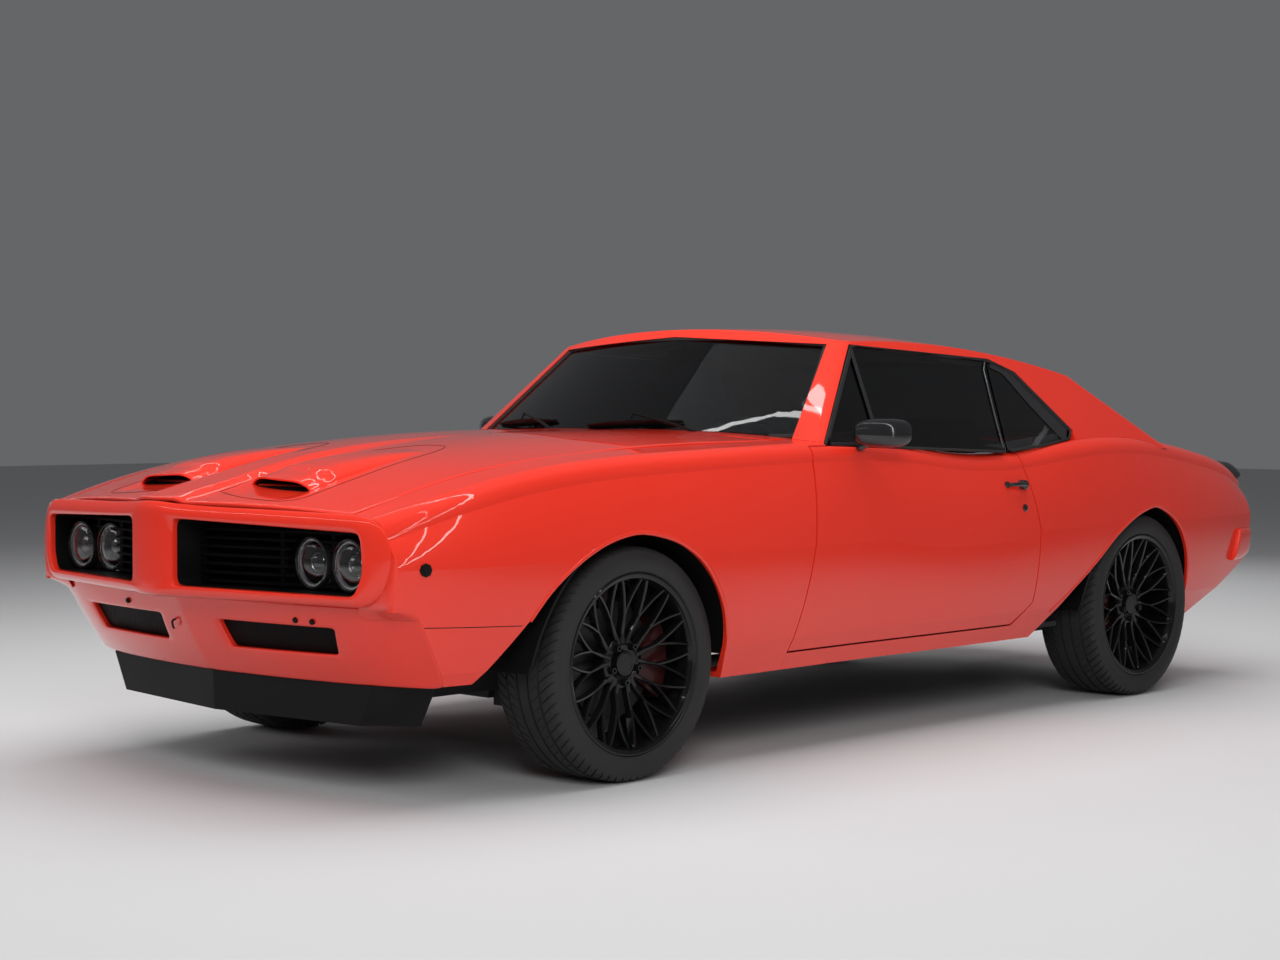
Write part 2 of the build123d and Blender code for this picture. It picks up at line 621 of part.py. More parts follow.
# Grilles: slats between end posts, set back in each opening, with round holes for the lamps
SLAT_PITCH = 24
SLAT_COUNT = 7
SLAT_HIGH = 7
GRILLE_END = [(95 + SEAT_GAP, front(-965)), (722 - SEAT_GAP, front(-834))]
GRILLE_DEEP = 20
with BuildPart() as grille:
    (in_x, in_y), (out_x, out_y) = GRILLE_END
    slope = (out_y - in_y) / (out_x - in_x)
    posts = [in_x, LAMP_X[0] - LAMP_R - 30, (LAMP_X[0] + LAMP_X[1]) / 2 - 8, out_x - 16]
    for side in (1, -1):
        for slat in range(SLAT_COUNT):
            low = 596 + slat * SLAT_PITCH
            plan_prism([(side * in_x, in_y), (side * out_x, out_y), (side * out_x, out_y + GRILLE_DEEP),
                        (side * in_x, in_y + GRILLE_DEEP)], (low, low + SLAT_HIGH))
        for x in posts:
            y = in_y + slope * (x - in_x)
            block(sorted((side * x, side * (x + 16))), (y + 6, y + GRILLE_DEEP + 2),
                  (590, 596 + (SLAT_COUNT - 1) * SLAT_PITCH + SLAT_HIGH))
        for x in LAMP_X:
            with BuildSketch(section_plane(front(-700))):
                with Locations((side * x, LAMP_Z)):
                    Circle(LAMP_R + SEAT_GAP)
            extrude(amount=400, mode=Mode.SUBTRACT)
export(grille, "grille")


def sloped_plate(levels, thick):
    """A plate across the car between plan lines at two heights: (height, half line) each."""
    for z, half in levels:
        face = across(half)
        with BuildSketch(Plane.XY.offset(z)) as outline:
            with BuildLine():
                Polyline(*face, *[(x, y + thick) for x, y in reversed(face)], close=True)
            make_face()
        yield outline.sketch


# Front valance: sloped back below the bumper, with two openings, and the air dam below it
VALANCE_LOW_Z = 328
VALANCE_TOP = [(0, front(-972)), (690, front(-884)), (816, front(-806))]
VALANCE_FOOT = [(0, front(-856)), (620, front(-776)), (780, front(-680))]
DAM_TOP = [(0, front(-852)), (620, front(-772)), (738, front(-656))]
DAM_FOOT = [(0, front(-846)), (560, front(-772)), (690, front(-672))]
VALANCE_OPENING = [(150, 412), (560, 414), (580, 489), (140, 489)]
DAM_LOW_Z = 214
DAM_THICK = 10
with BuildPart() as front_valance:
    loft(list(sloped_plate([(VALANCE_LOW_Z, VALANCE_FOOT), (BUMPER_LOW_Z - SEAT_GAP, VALANCE_TOP)], PLATE)), ruled=True)
    for side in (1, -1):
        front_prism([(side * x, z) for x, z in VALANCE_OPENING], (NOSE_Y, front(-600)), Mode.SUBTRACT)
export(front_valance, "front_valance")

with BuildPart() as air_dam:
    loft(list(sloped_plate([(DAM_LOW_Z, DAM_FOOT), (VALANCE_LOW_Z - SEAT_GAP, DAM_TOP)], DAM_THICK)), ruled=True)
export(air_dam, "air_dam")

# Tail: the panel between the quarters, its lamps, the bumper and the valance below
TAIL_PANEL_Y = (BODY_END_Y - 40, BODY_END_Y - 10)
TAIL_LOW_Z = 480
with BuildPart() as tail_low:
    add(liner_hull)
    block((-ROOF_HALF, ROOF_HALF), TAIL_PANEL_Y, (TAIL_LOW_Z, LID_LOW_Z), Mode.INTERSECT)
with BuildPart() as tail_panel:
    add(body_hull(HOOD_SKIN + PANEL_GAP))
    block((-ROOF_HALF, ROOF_HALF), TAIL_PANEL_Y, (TAIL_LOW_Z, ABOVE_Z), Mode.INTERSECT)
    add(tail_low.part)
export(tail_panel, "tail_panel")

LAMP_SLIT = {"x": (190, 690), "z": (650, 712), "deep": 16}
with BuildPart() as tail_lamps:
    for side in (1, -1):
        block(sorted(side * x for x in LAMP_SLIT["x"]), (TAIL_PANEL_Y[1] + SEAT_GAP, TAIL_PANEL_Y[1] + LAMP_SLIT["deep"]),
              LAMP_SLIT["z"])
export(tail_lamps, "tail_lamps")

REAR_BUMPER_Z = (505, 594)
with BuildPart() as rear_bumper:
    back = BODY_END_Y + SEAT_GAP
    plan_prism(across([(0, TAIL_Y), (600, TAIL_Y - 6), (770, TAIL_Y - 26), (806, back + 8), (800, back)]), REAR_BUMPER_Z)
    block((-700, 700), (TAIL_PANEL_Y[1] + SEAT_GAP, back + 10), (REAR_BUMPER_Z[0] + 14, REAR_BUMPER_Z[1] - 14))
export(rear_bumper, "rear_bumper")

with BuildPart() as rear_valance:
    side_prism([(BODY_END_Y - 12, TAIL_LOW_Z - SEAT_GAP), (BODY_END_Y - 90, 372), (BODY_END_Y - 108, 372),
                (BODY_END_Y - 36, TAIL_LOW_Z - SEAT_GAP)], (-690, 690))
export(rear_valance, "rear_valance")

# Lip spoiler along the trunk lid's rear edge
with BuildPart() as spoiler:
    side_prism([(BODY_END_Y - 90, 840), (BODY_END_Y, 800), (BODY_END_Y + 34, 892), (BODY_END_Y + 18, 898),
                (BODY_END_Y - 90, 872)], (-TRUNK_X + 4, TRUNK_X - 4))
    add(seat_hull, mode=Mode.SUBTRACT)
    block((-TRUNK_X, TRUNK_X), (BODY_END_Y + SEAT_GAP, TAIL_Y), (0, 838), Mode.SUBTRACT)
export(spoiler, "spoiler")

# Floor: cabin floor with its tunnel, the step over the rear axle and the trunk floor
STEP_Y = rear(-420)
STEP_Z = 500
TRUNK_FLOOR_Y = rear(330)
TRUNK_FLOOR_Z = 400
FLOOR_X = DOOR_INNER_X - 20 - SEAT_GAP
REAR_FLOOR_X = 560
JACK_PAD = {"x": (620, 700), "y": (rear(-660), rear(-580)), "deep": 14}
with BuildPart() as floor_pan:
    block((-FLOOR_X, FLOOR_X), (FIREWALL_Y[1] + SEAT_GAP, STEP_Y + PLATE), (FLOOR_BASE_Z, FLOOR_Z))
    block((-TUNNEL_X - PLATE, TUNNEL_X + PLATE), (FIREWALL_Y[1] + SEAT_GAP, STEP_Y + PLATE), (FLOOR_Z, TUNNEL_Z + PLATE))
    block((-REAR_FLOOR_X, REAR_FLOOR_X), (STEP_Y, STEP_Y + PLATE), (FLOOR_BASE_Z, STEP_Z))
    block((-REAR_FLOOR_X, REAR_FLOOR_X), (STEP_Y, TRUNK_FLOOR_Y + PLATE), (STEP_Z - PLATE, STEP_Z))
    block((-REAR_FLOOR_X, REAR_FLOOR_X), (TRUNK_FLOOR_Y, TRUNK_FLOOR_Y + PLATE), (TRUNK_FLOOR_Z - PLATE, STEP_Z))
    block((-REAR_FLOOR_X, REAR_FLOOR_X), (TRUNK_FLOOR_Y, TAIL_PANEL_Y[0] - 90), (TRUNK_FLOOR_Z - PLATE, TRUNK_FLOOR_Z))
    block((-TUNNEL_X, TUNNEL_X), (FIREWALL_Y[0], STEP_Y + PLATE), (0, TUNNEL_Z), Mode.SUBTRACT)
    for side in (1, -1):
        block(sorted(side * x for x in JACK_PAD["x"]), JACK_PAD["y"],
              (FLOOR_BASE_Z - JACK_PAD["deep"], FLOOR_BASE_Z))
export(floor_pan, "floor_pan")

# Dashboard with the steering column's boss, and the steering wheel on its shaft
DASH_X = 680
WHEEL_CENTRE = (380, front(1145), 850)
COLUMN_TILT = 25
COLUMN_LENGTH = 96
COLUMN_R = 26
GRIP_R = 182
GRIP_THICK = 15
column_dir = (0, math.cos(math.radians(COLUMN_TILT)), math.sin(math.radians(COLUMN_TILT)))
column = Plane(origin=WHEEL_CENTRE, x_dir=(1, 0, 0), z_dir=column_dir)
DASH_REAR_Y = front(1005)
with BuildPart() as dashboard:
    dash_front = FIREWALL_Y[1] + SEAT_GAP
    side_prism([(dash_front, 690), (dash_front, 936), (DASH_REAR_Y - 60, 944), (DASH_REAR_Y, 910), (DASH_REAR_Y, 800),
                (DASH_REAR_Y - 80, 690)], (-DASH_X, DASH_X))
    with BuildSketch(column.offset(-COLUMN_LENGTH)):
        Circle(COLUMN_R)
    extrude(amount=-(DASH_REAR_Y - dash_front) / 2)
export(dashboard, "dashboard")

with BuildPart() as steering_wheel:
    with BuildSketch(column.offset(-COLUMN_LENGTH + SEAT_GAP)):
        Circle(COLUMN_R)
    extrude(amount=COLUMN_LENGTH - 20)
    with BuildSketch(column.offset(-24)):
        Circle(44)
    extrude(amount=30)
    with BuildSketch(Plane(origin=WHEEL_CENTRE, x_dir=(1, 0, 0), z_dir=(0, -column_dir[2], column_dir[1]))):
        with Locations((GRIP_R, 0)):
            Circle(GRIP_THICK)
    revolve(axis=Axis(WHEEL_CENTRE, column_dir))
    with BuildSketch(column.offset(-8)):
        for angle in (0, 180, 270):
            with Locations(Rotation(0, 0, angle)):
                Rectangle(GRIP_R, 26, align=(Align.MIN, Align.CENTER))
    extrude(amount=10)
export(steering_wheel, "steering_wheel")

# Seats
SEAT_X = (195, 640)
with BuildPart() as front_seats:
    base = FLOOR_Z + SEAT_GAP
    for side in (1, -1):
        side_prism([(front(1400), base), (front(1390), 480), (front(1850), 450), (front(1985), 1060), (front(2085), 1050),
                    (front(1980), base)], sorted(side * x for x in SEAT_X))
export(front_seats, "front_seats")

with BuildPart() as rear_seat:
    side_prism([(STEP_Y - 190, FLOOR_Z + SEAT_GAP), (STEP_Y - SEAT_GAP, FLOOR_Z + SEAT_GAP),
                (STEP_Y - SEAT_GAP, STEP_Z + SEAT_GAP), (rear(-10), STEP_Z + SEAT_GAP), (rear(40), 930), (rear(-40), 944),
                (rear(-180), 590), (STEP_Y - 180, 560)], (-REAR_FLOOR_X, REAR_FLOOR_X))
    block((-TUNNEL_X - PLATE - SEAT_GAP, TUNNEL_X + PLATE + SEAT_GAP), (STEP_Y - 300, STEP_Y + 1),
          (0, TUNNEL_Z + PLATE + SEAT_GAP), Mode.SUBTRACT)
export(rear_seat, "rear_seat")

# Wheel arches' liners: half rings over the tyres, out to the skin
LINER_R = 386
LINER_WALL = 8
LINER_X = 600
with BuildPart() as wheel_liners:
    for y in (FRONT_AXLE_Y, REAR_AXLE_Y):
        for side in (1, -1):
            with BuildSketch(Plane.YZ.offset(sorted((side * LINER_X, side * ROOF_HALF))[0])):
                with Locations((y, TYRE_R)):
                    Circle(LINER_R + LINER_WALL)
                    Circle(LINER_R, mode=Mode.SUBTRACT)
                    Rectangle(3 * LINER_R, 2 * LINER_R, align=(Align.CENTER, Align.MAX), mode=Mode.SUBTRACT)
            extrude(amount=ROOF_HALF - LINER_X)
    add(liner_hull, mode=Mode.INTERSECT)
export(wheel_liners, "wheel_liners")

# Wheel sections as (x out from the wheel's middle, radius): rim barrel, hub, spoke band and tyre
RIM_WALL = 10
BARREL_R = RIM_R - 16
LIP = 7
HUB_R = 78
HUB_FACE_X = 66
HUB_BACK_X = 36
STUB_END_X = 46
HALF_RIM = RIM_WIDTH / 2
HALF_TYRE = TYRE_WIDTH / 2
RIM_SECTION = [
    (-HALF_RIM, BARREL_R - RIM_WALL), (HALF_RIM, BARREL_R - RIM_WALL), (HALF_RIM, RIM_R), (HALF_RIM - LIP, RIM_R),
    (HALF_RIM - LIP, BARREL_R), (LIP - HALF_RIM, BARREL_R), (LIP - HALF_RIM, RIM_R), (-HALF_RIM, RIM_R),
]
HUB_SECTION = [(HUB_BACK_X, STUB_R + SEAT_GAP), (HUB_BACK_X, HUB_R), (HUB_FACE_X, HUB_R), (HUB_FACE_X, 0),
               (STUB_END_X + 4, 0), (STUB_END_X + 4, STUB_R + SEAT_GAP)]
SPOKE_BAND = [(HUB_FACE_X, HUB_R - 10), (HALF_RIM - 8, BARREL_R - 4), (HALF_RIM - 36, BARREL_R - 4),
              (HUB_BACK_X, HUB_R - 10)]
TYRE_SECTION = [(HALF_TYRE - 11, RIM_R + SEAT_GAP), (HALF_TYRE, RIM_R + 26), (HALF_TYRE - 4, TYRE_R - 21),
                (HALF_TYRE - 23, TYRE_R)]
DISC_X = (-10, 14)
DISC_SECTION = [(DISC_X[0], STUB_R + SEAT_GAP), (DISC_X[0], DISC_R), (DISC_X[1], DISC_R), (DISC_X[1], HUB_R),
                (HUB_BACK_X - SEAT_GAP, HUB_R), (HUB_BACK_X - SEAT_GAP, STUB_R + SEAT_GAP)]
FORK_R = 148
STEM_WIDE = 15
BRANCH_WIDE = 9
BRANCH_SPREAD = 26


def turned(section, x, y, mode=Mode.ADD):
    """Turn a section of (out, radius) points about a wheel's axle."""
    with BuildSketch(section_plane(y)) as outline:
        with BuildLine():
            Polyline(*[(x + out, TYRE_R + radius) for out, radius in section], close=True)
        make_face()
    revolve(outline.sketch, axis=Axis((0, y, TYRE_R), (1, 0, 0)), mode=mode)


# Columns: name, distance from the middle, place along the car
CORNERS = [("front", FRONT_TRACK_X, FRONT_AXLE_Y), ("rear", REAR_TRACK_X, REAR_AXLE_Y)]
for end, track_x, axle_y in CORNERS:
    with BuildPart() as spokes:
        with BuildSketch(Plane(origin=(track_x, axle_y, TYRE_R), x_dir=(0, 1, 0), z_dir=(1, 0, 0))) as star:
            with PolarLocations(0, SPOKE_COUNT):
                Polygon((HUB_R - 20, -STEM_WIDE / 2), (FORK_R + 12, -STEM_WIDE / 2), (FORK_R + 12, STEM_WIDE / 2),
                        (HUB_R - 20, STEM_WIDE / 2), align=None)
                for lean in (1, -1):
                    Polygon((FORK_R - 14, lean * (STEM_WIDE / 2 - BRANCH_WIDE)), (BARREL_R, lean * (BRANCH_SPREAD - BRANCH_WIDE / 2)),
                            (BARREL_R, lean * (BRANCH_SPREAD + BRANCH_WIDE / 2)), (FORK_R - 14, lean * STEM_WIDE / 2), align=None)
        extrude(amount=HALF_RIM)
        turned(SPOKE_BAND, track_x, axle_y, Mode.INTERSECT)
    with BuildPart() as wheel:
        turned(RIM_SECTION, track_x, axle_y)
        turned(HUB_SECTION, track_x, axle_y)
        add(spokes.part)
    export(wheel, f"wheel_{end}_left")
    mirrored(wheel, f"wheel_{end}_right")
    with BuildPart() as tyre:
        turned(TYRE_SECTION + [(-out, radius) for out, radius in reversed(TYRE_SECTION)], track_x, axle_y)
    export(tyre, f"tyre_{end}_left")
    mirrored(tyre, f"tyre_{end}_right")
    with BuildPart() as disc:
        turned(DISC_SECTION, track_x, axle_y)
    export(disc, f"disc_{end}_left")
    mirrored(disc, f"disc_{end}_right")

# Front knuckle: the upright on the steering axis, the stub axle and the arm behind it
PIN_HALF = 130
UPRIGHT_R = 22
CALIPER_GAP = 5
CALIPER_R = (104, 214)
CALIPER_HALF_ANGLE = 34


def caliper(track_x, axle_y, back):
    """A brake caliper straddling a disc, and the bracket that reaches in to its carrier."""
    inner_x = track_x + DISC_X[0] - CALIPER_GAP - PLATE
    outer_x = track_x + DISC_X[1] + CALIPER_GAP + PLATE
    with BuildSketch(Plane(origin=(inner_x, axle_y, TYRE_R), x_dir=(0, back, 0), z_dir=(1, 0, 0))) as shoe:
        with BuildLine():
            arc_out = CenterArc((0, 0), CALIPER_R[1], -CALIPER_HALF_ANGLE, 2 * CALIPER_HALF_ANGLE)
            arc_in = CenterArc((0, 0), CALIPER_R[0], -CALIPER_HALF_ANGLE, 2 * CALIPER_HALF_ANGLE)
            Line(arc_out @ 0, arc_in @ 0)
            Line(arc_out @ 1, arc_in @ 1)
        make_face()
    extrude(shoe.sketch, amount=outer_x - inner_x)
    turned([(DISC_X[0] - CALIPER_GAP, 0), (DISC_X[1] + CALIPER_GAP, 0), (DISC_X[1] + CALIPER_GAP, DISC_R + CALIPER_GAP),
            (DISC_X[0] - CALIPER_GAP, DISC_R + CALIPER_GAP)], track_x, axle_y, Mode.SUBTRACT)


with BuildPart() as caliper_front:
    caliper(FRONT_TRACK_X, FRONT_AXLE_Y, 1)
export(caliper_front, "caliper_front_left")
mirrored(caliper_front, "caliper_front_right")

with BuildPart() as knuckle:
    with Locations((KINGPIN_X, FRONT_AXLE_Y, TYRE_R)):
        Cylinder(UPRIGHT_R, 2 * PIN_HALF)
    hinge_pin((FRONT_AXLE_Y, TYRE_R), (KINGPIN_X, FRONT_TRACK_X + STUB_END_X), STUB_R)
    bracket_x = FRONT_TRACK_X + DISC_X[0] - CALIPER_GAP - PLATE - SEAT_GAP
    block((KINGPIN_X - 14, bracket_x), (FRONT_AXLE_Y, FRONT_AXLE_Y + CALIPER_R[0] + 50), (TYRE_R - 30, TYRE_R + 30))
export(knuckle, "knuckle_left")
mirrored(knuckle, "knuckle_right")

# Front subframe: rails, cross member, towers and the arms above and below each knuckle
RAIL_X = (335, 405)
RAIL_Z = (240, 330)
ARM_THICK = 30
LOW_ARM_Z = TYRE_R - PIN_HALF - SEAT_GAP - ARM_THICK
HIGH_ARM_Z = TYRE_R + PIN_HALF + SEAT_GAP
with BuildPart() as front_subframe:
    block((SEAT_GAP - RAIL_X[0], RAIL_X[0] - SEAT_GAP), (front(-85), front(85)), (205, RAIL_Z[1]))
    for side in (1, -1):
        rail = sorted(side * x for x in RAIL_X)
        block(rail, (front(-700), FIREWALL_Y[0] - SEAT_GAP), RAIL_Z)
        block(rail, (front(-65), front(65)), (LOW_ARM_Z, HIGH_ARM_Z + ARM_THICK))
        arm = sorted((side * RAIL_X[0], side * (KINGPIN_X + UPRIGHT_R)))
        for low in (LOW_ARM_Z, HIGH_ARM_Z):
            block(arm, (front(-UPRIGHT_R - 12), front(UPRIGHT_R + 12)), (low, low + ARM_THICK))
export(front_subframe, "front_subframe")

# Engine as one block, with the gearbox and driveshaft behind it
ENGINE_X = 300
ENGINE_REAR_Y = front(487)
DIFF_R = 130
with BuildPart() as engine_block:
    block((-ENGINE_X, ENGINE_X), (front(-420), ENGINE_REAR_Y), (RAIL_Z[1] + SEAT_GAP, 850))
export(engine_block, "engine_block")

with BuildPart() as driveline:
    block((-TUNNEL_X + 14, TUNNEL_X - 14), (ENGINE_REAR_Y + SEAT_GAP, front(1180)), (RAIL_Z[1] + SEAT_GAP, TUNNEL_Z - 12))
    with Locations(Plane(origin=(0, front(1180), TYRE_R + 30), x_dir=(1, 0, 0), z_dir=(0, 1, 0))):
        Cylinder(40, rear(-DIFF_R) - SEAT_GAP - front(1180), align=(Align.CENTER, Align.CENTER, Align.MIN))
export(driveline, "driveline")

# Rear axle with its differential, and the leaf springs that carry it
AXLE_R = 40
SPRING_X = (500, 560)
SPRING_TOP_Z = TYRE_R - AXLE_R - SEAT_GAP
SPRING_THICK = 26
with BuildPart() as rear_axle:
    with Locations((0, REAR_AXLE_Y, TYRE_R)):
        Sphere(DIFF_R)
    carrier_x = REAR_TRACK_X + DISC_X[0] - CALIPER_GAP - PLATE - SEAT_GAP
    hinge_pin((REAR_AXLE_Y, TYRE_R), (-carrier_x, carrier_x), AXLE_R)
    hinge_pin((REAR_AXLE_Y, TYRE_R), (-REAR_TRACK_X - STUB_END_X, REAR_TRACK_X + STUB_END_X), STUB_R)
    for side in (1, -1):
        block(sorted((side * (carrier_x - PLATE), side * carrier_x)), (REAR_AXLE_Y - CALIPER_R[0] - 50, REAR_AXLE_Y),
              (TYRE_R - 30, TYRE_R + 30))
export(rear_axle, "rear_axle")

with BuildPart() as calipers_rear:
    caliper(REAR_TRACK_X, REAR_AXLE_Y, -1)
    mirror(about=Plane.YZ)
export(calipers_rear, "calipers_rear")

with BuildPart() as leaf_springs:
    for side in (1, -1):
        spring = sorted(side * x for x in SPRING_X)
        bow = [(STEP_Y + PLATE + 6, SPRING_TOP_Z + 20), (rear(-160), SPRING_TOP_Z), (rear(160), SPRING_TOP_Z),
               (rear(600), SPRING_TOP_Z + 34)]
        side_prism(bow + [(y, z - SPRING_THICK) for y, z in reversed(bow)], spring)
        block(spring, (STEP_Y + PLATE + 6, STEP_Y + PLATE + 40), (SPRING_TOP_Z, STEP_Z - PLATE - SEAT_GAP))
        block(spring, (rear(560), rear(600)), (SPRING_TOP_Z, TRUNK_FLOOR_Z - PLATE - SEAT_GAP))
export(leaf_springs, "leaf_springs")

# Exhaust: a pipe and muffler each side, hung from the floor, and the fuel tank between them
PIPE_X = 330
PIPE_R = 30
PIPE_Z = 225
MUFFLER_R = 72
with BuildPart() as exhaust:
    for side in (1, -1):
        with Locations(Plane(origin=(side * PIPE_X, FIREWALL_Y[1] + 20, PIPE_Z), x_dir=(1, 0, 0), z_dir=(0, 1, 0))):
            Cylinder(PIPE_R, BODY_END_Y - 10 - FIREWALL_Y[1], align=(Align.CENTER, Align.CENTER, Align.MIN))
        with Locations(Plane(origin=(side * PIPE_X, TRUNK_FLOOR_Y + 70, PIPE_Z + 50), x_dir=(1, 0, 0), z_dir=(0, 1, 0))):
            Cylinder(MUFFLER_R, 360, align=(Align.CENTER, Align.CENTER, Align.MIN))
        hanger = sorted((side * (PIPE_X - 8), side * (PIPE_X + 8)))
        block(hanger, (front(1500), front(1530)), (PIPE_Z, FLOOR_BASE_Z - SEAT_GAP))
        block(hanger, (TRUNK_FLOOR_Y + 200, TRUNK_FLOOR_Y + 230), (PIPE_Z, TRUNK_FLOOR_Z - PLATE - SEAT_GAP))
export(exhaust, "exhaust")

with BuildPart() as fuel_tank:
    block((-230, 230), (TRUNK_FLOOR_Y + 50, TRUNK_FLOOR_Y + 450), (285, TRUNK_FLOOR_Z - PLATE - SEAT_GAP))
export(fuel_tank, "fuel_tank")

# Mirror and pull handle on each door
MIRROR_SIZE = (150, 84, 96)
MIRROR_AT = (922, front(1000), 1012)
with BuildPart() as door_fittings:
    with Locations(MIRROR_AT):
        Box(*MIRROR_SIZE)
    fillet(edges(), 22)
    block((838, MIRROR_AT[0] - 30), (MIRROR_AT[1] - 18, MIRROR_AT[1] + 18), (925, MIRROR_AT[2] - 20))
    block((870, 919), (rear(-892), rear(-784)), (806, 826))
    add(seat_hull, mode=Mode.SUBTRACT)
export(door_fittings, "door_fittings_left")
mirrored(door_fittings, "door_fittings_right")

print("hood pin", HOOD_PIN, "trunk pin", TRUNK_PIN, "door hinge", (HINGE_X, DOOR_FRONT_Y))
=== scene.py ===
import json
import math

import bpy
from mathutils import Matrix, Vector
from mathutils.bvhtree import BVHTree


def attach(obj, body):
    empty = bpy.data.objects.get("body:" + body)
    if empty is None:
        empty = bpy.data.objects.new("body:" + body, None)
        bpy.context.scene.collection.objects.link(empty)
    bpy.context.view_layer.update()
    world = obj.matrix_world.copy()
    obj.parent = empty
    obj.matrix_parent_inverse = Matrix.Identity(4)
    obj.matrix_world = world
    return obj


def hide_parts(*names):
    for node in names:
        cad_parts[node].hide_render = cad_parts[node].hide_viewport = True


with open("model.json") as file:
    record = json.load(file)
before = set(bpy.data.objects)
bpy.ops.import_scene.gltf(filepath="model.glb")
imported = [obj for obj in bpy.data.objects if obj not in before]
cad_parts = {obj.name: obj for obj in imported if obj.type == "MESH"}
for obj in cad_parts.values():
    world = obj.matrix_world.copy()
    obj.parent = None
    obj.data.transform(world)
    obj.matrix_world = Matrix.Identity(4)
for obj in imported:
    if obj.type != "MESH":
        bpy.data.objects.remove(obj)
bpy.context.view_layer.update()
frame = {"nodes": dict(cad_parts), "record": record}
nodes = frame["nodes"]
print("frame loaded:", len(nodes), "nodes")


class Wire:
    # wraps one socket, so that shader sums read as plain arithmetic
    def __init__(self, tree, socket=None):
        self.tree = tree
        self.socket = socket

    def node(self, kind, settings=None, inputs=None, out=0):
        made = self.tree.nodes.new(kind)
        for name, value in (settings or {}).items():
            if name == "stops":
                while len(made.color_ramp.elements) < len(value):
                    made.color_ramp.elements.new(0.5)
                for element, (place, shade) in zip(made.color_ramp.elements, value):
                    element.position = place
                    element.color = (*shade, 1) if len(shade) == 3 else shade
            else:
                setattr(made, name, value)
        for name, value in (inputs or {}).items():
            if isinstance(value, Wire):
                self.tree.links.new(value.socket, made.inputs[name])
            else:
                made.inputs[name].default_value = value
        return Wire(self.tree, made.outputs[out])

    def maths(self, operation, *values):
        return self.node("ShaderNodeMath", {"operation": operation}, dict(enumerate(values)))

    def __add__(self, other):
        return self.maths("ADD", self, other)

    def __radd__(self, other):
        return self.maths("ADD", other, self)

    def __sub__(self, other):
        return self.maths("SUBTRACT", self, other)

    def __rsub__(self, other):
        return self.maths("SUBTRACT", other, self)

    def __mul__(self, other):
        return self.maths("MULTIPLY", self, other)

    def __rmul__(self, other):
        return self.maths("MULTIPLY", other, self)

    def sin(self):
        return self.maths("SINE", self)

    def over(self, edge):
        return self.maths("GREATER_THAN", self, edge)

    def mix(self, low, high):
        # a colour between two, by this value
        return self.node("ShaderNodeMix", {"data_type": "RGBA"}, {0: self, 6: low, 7: high}, 2)

    def place(self):
        return self.node("ShaderNodeTexCoord", out="Object")

    def axes(self):
        parts = self.node("ShaderNodeSeparateXYZ", inputs={0: self})
        outs = parts.socket.node.outputs
        return [Wire(self.tree, outs[i]) for i in range(3)]

    def noise(self, scale, detail=2.0):
        return self.node("ShaderNodeTexNoise", inputs={"Vector": self, "Scale": scale, "Detail": detail})

    def bump(self, distance, strength=1.0):
        return self.node("ShaderNodeBump", inputs={"Height": self, "Distance": distance, "Strength": strength})


def rgb(red, green, blue):
    return (red, green, blue, 1)


def finish(name, build, **fixed):
    # a material: fixed shader values as keywords, varying ones from the build function
    made = bpy.data.materials.new(name)
    made.use_nodes = True
    tree = made.node_tree
    shader = tree.nodes["Principled BSDF"]
    for key, value in fixed.items():
        shader.inputs[key.replace("_", " ")].default_value = value
    for key, wire in build(Wire(tree)).items():
        tree.links.new(wire.socket, shader.inputs[key])
    return made


paintLook = {"shade": rgb(0.84, 0.036, 0.016), "deep": rgb(0.76, 0.028, 0.012), "flowScale": 1.7,
             "rough": 0.30, "roughVary": 0.08, "roughScale": 6, "peelScale": 420, "peelDeep": 0.00004}


def paintBuild(w):
    here = w.place()
    return {
        "Base Color": here.noise(paintLook["flowScale"]).mix(paintLook["deep"], paintLook["shade"]),
        "Roughness": paintLook["rough"] + paintLook["roughVary"] * here.noise(paintLook["roughScale"], 3),
        "Normal": here.noise(paintLook["peelScale"]).bump(paintLook["peelDeep"], 0.25),
    }


def plasticBuild(shade, rough, grain, scale):
    # moulded plastic: fine grain, a little dust in the colour
    def build(w):
        here = w.place()
        dust = here.noise(9, 4)
        lift = rgb(*(c * 1.5 + 0.004 for c in shade))
        return {
            "Base Color": dust.mix(rgb(*shade), lift),
            "Roughness": rough - 0.07 + 0.14 * dust,
            "Normal": here.noise(scale, 3).bump(grain, 0.6),
        }
    return build


def metalBuild(shade, rough, grain, scale):
    def build(w):
        here = w.place()
        stain = here.noise(14, 5)
        return {
            "Base Color": stain.mix(rgb(*(c * 0.7 for c in shade)), rgb(*shade)),
            "Roughness": rough - 0.1 + 0.2 * stain,
            "Normal": here.noise(scale, 4).bump(grain, 0.5),
        }
    return build


def glassBuild(tint):
    def build(w):
        film = w.place().noise(5, 3)
        return {"Base Color": film.mix(rgb(*(c * 0.94 for c in tint)), rgb(*tint))}
    return build


rubberShades = (rgb(0.012, 0.012, 0.012), rgb(0.030, 0.029, 0.028))


def rubberBuild(w):
    here = w.place()
    bloom = here.noise(11, 4)
    return {
        "Base Color": bloom.mix(*rubberShades),
        "Roughness": 0.58 + 0.25 * bloom,
        "Normal": here.noise(600).bump(0.0002, 0.5),
    }


leatherLook = {"shades": (rgb(0.010, 0.010, 0.011), rgb(0.026, 0.025, 0.025)),
               "grainScale": 420, "grainDeep": 0.0006}


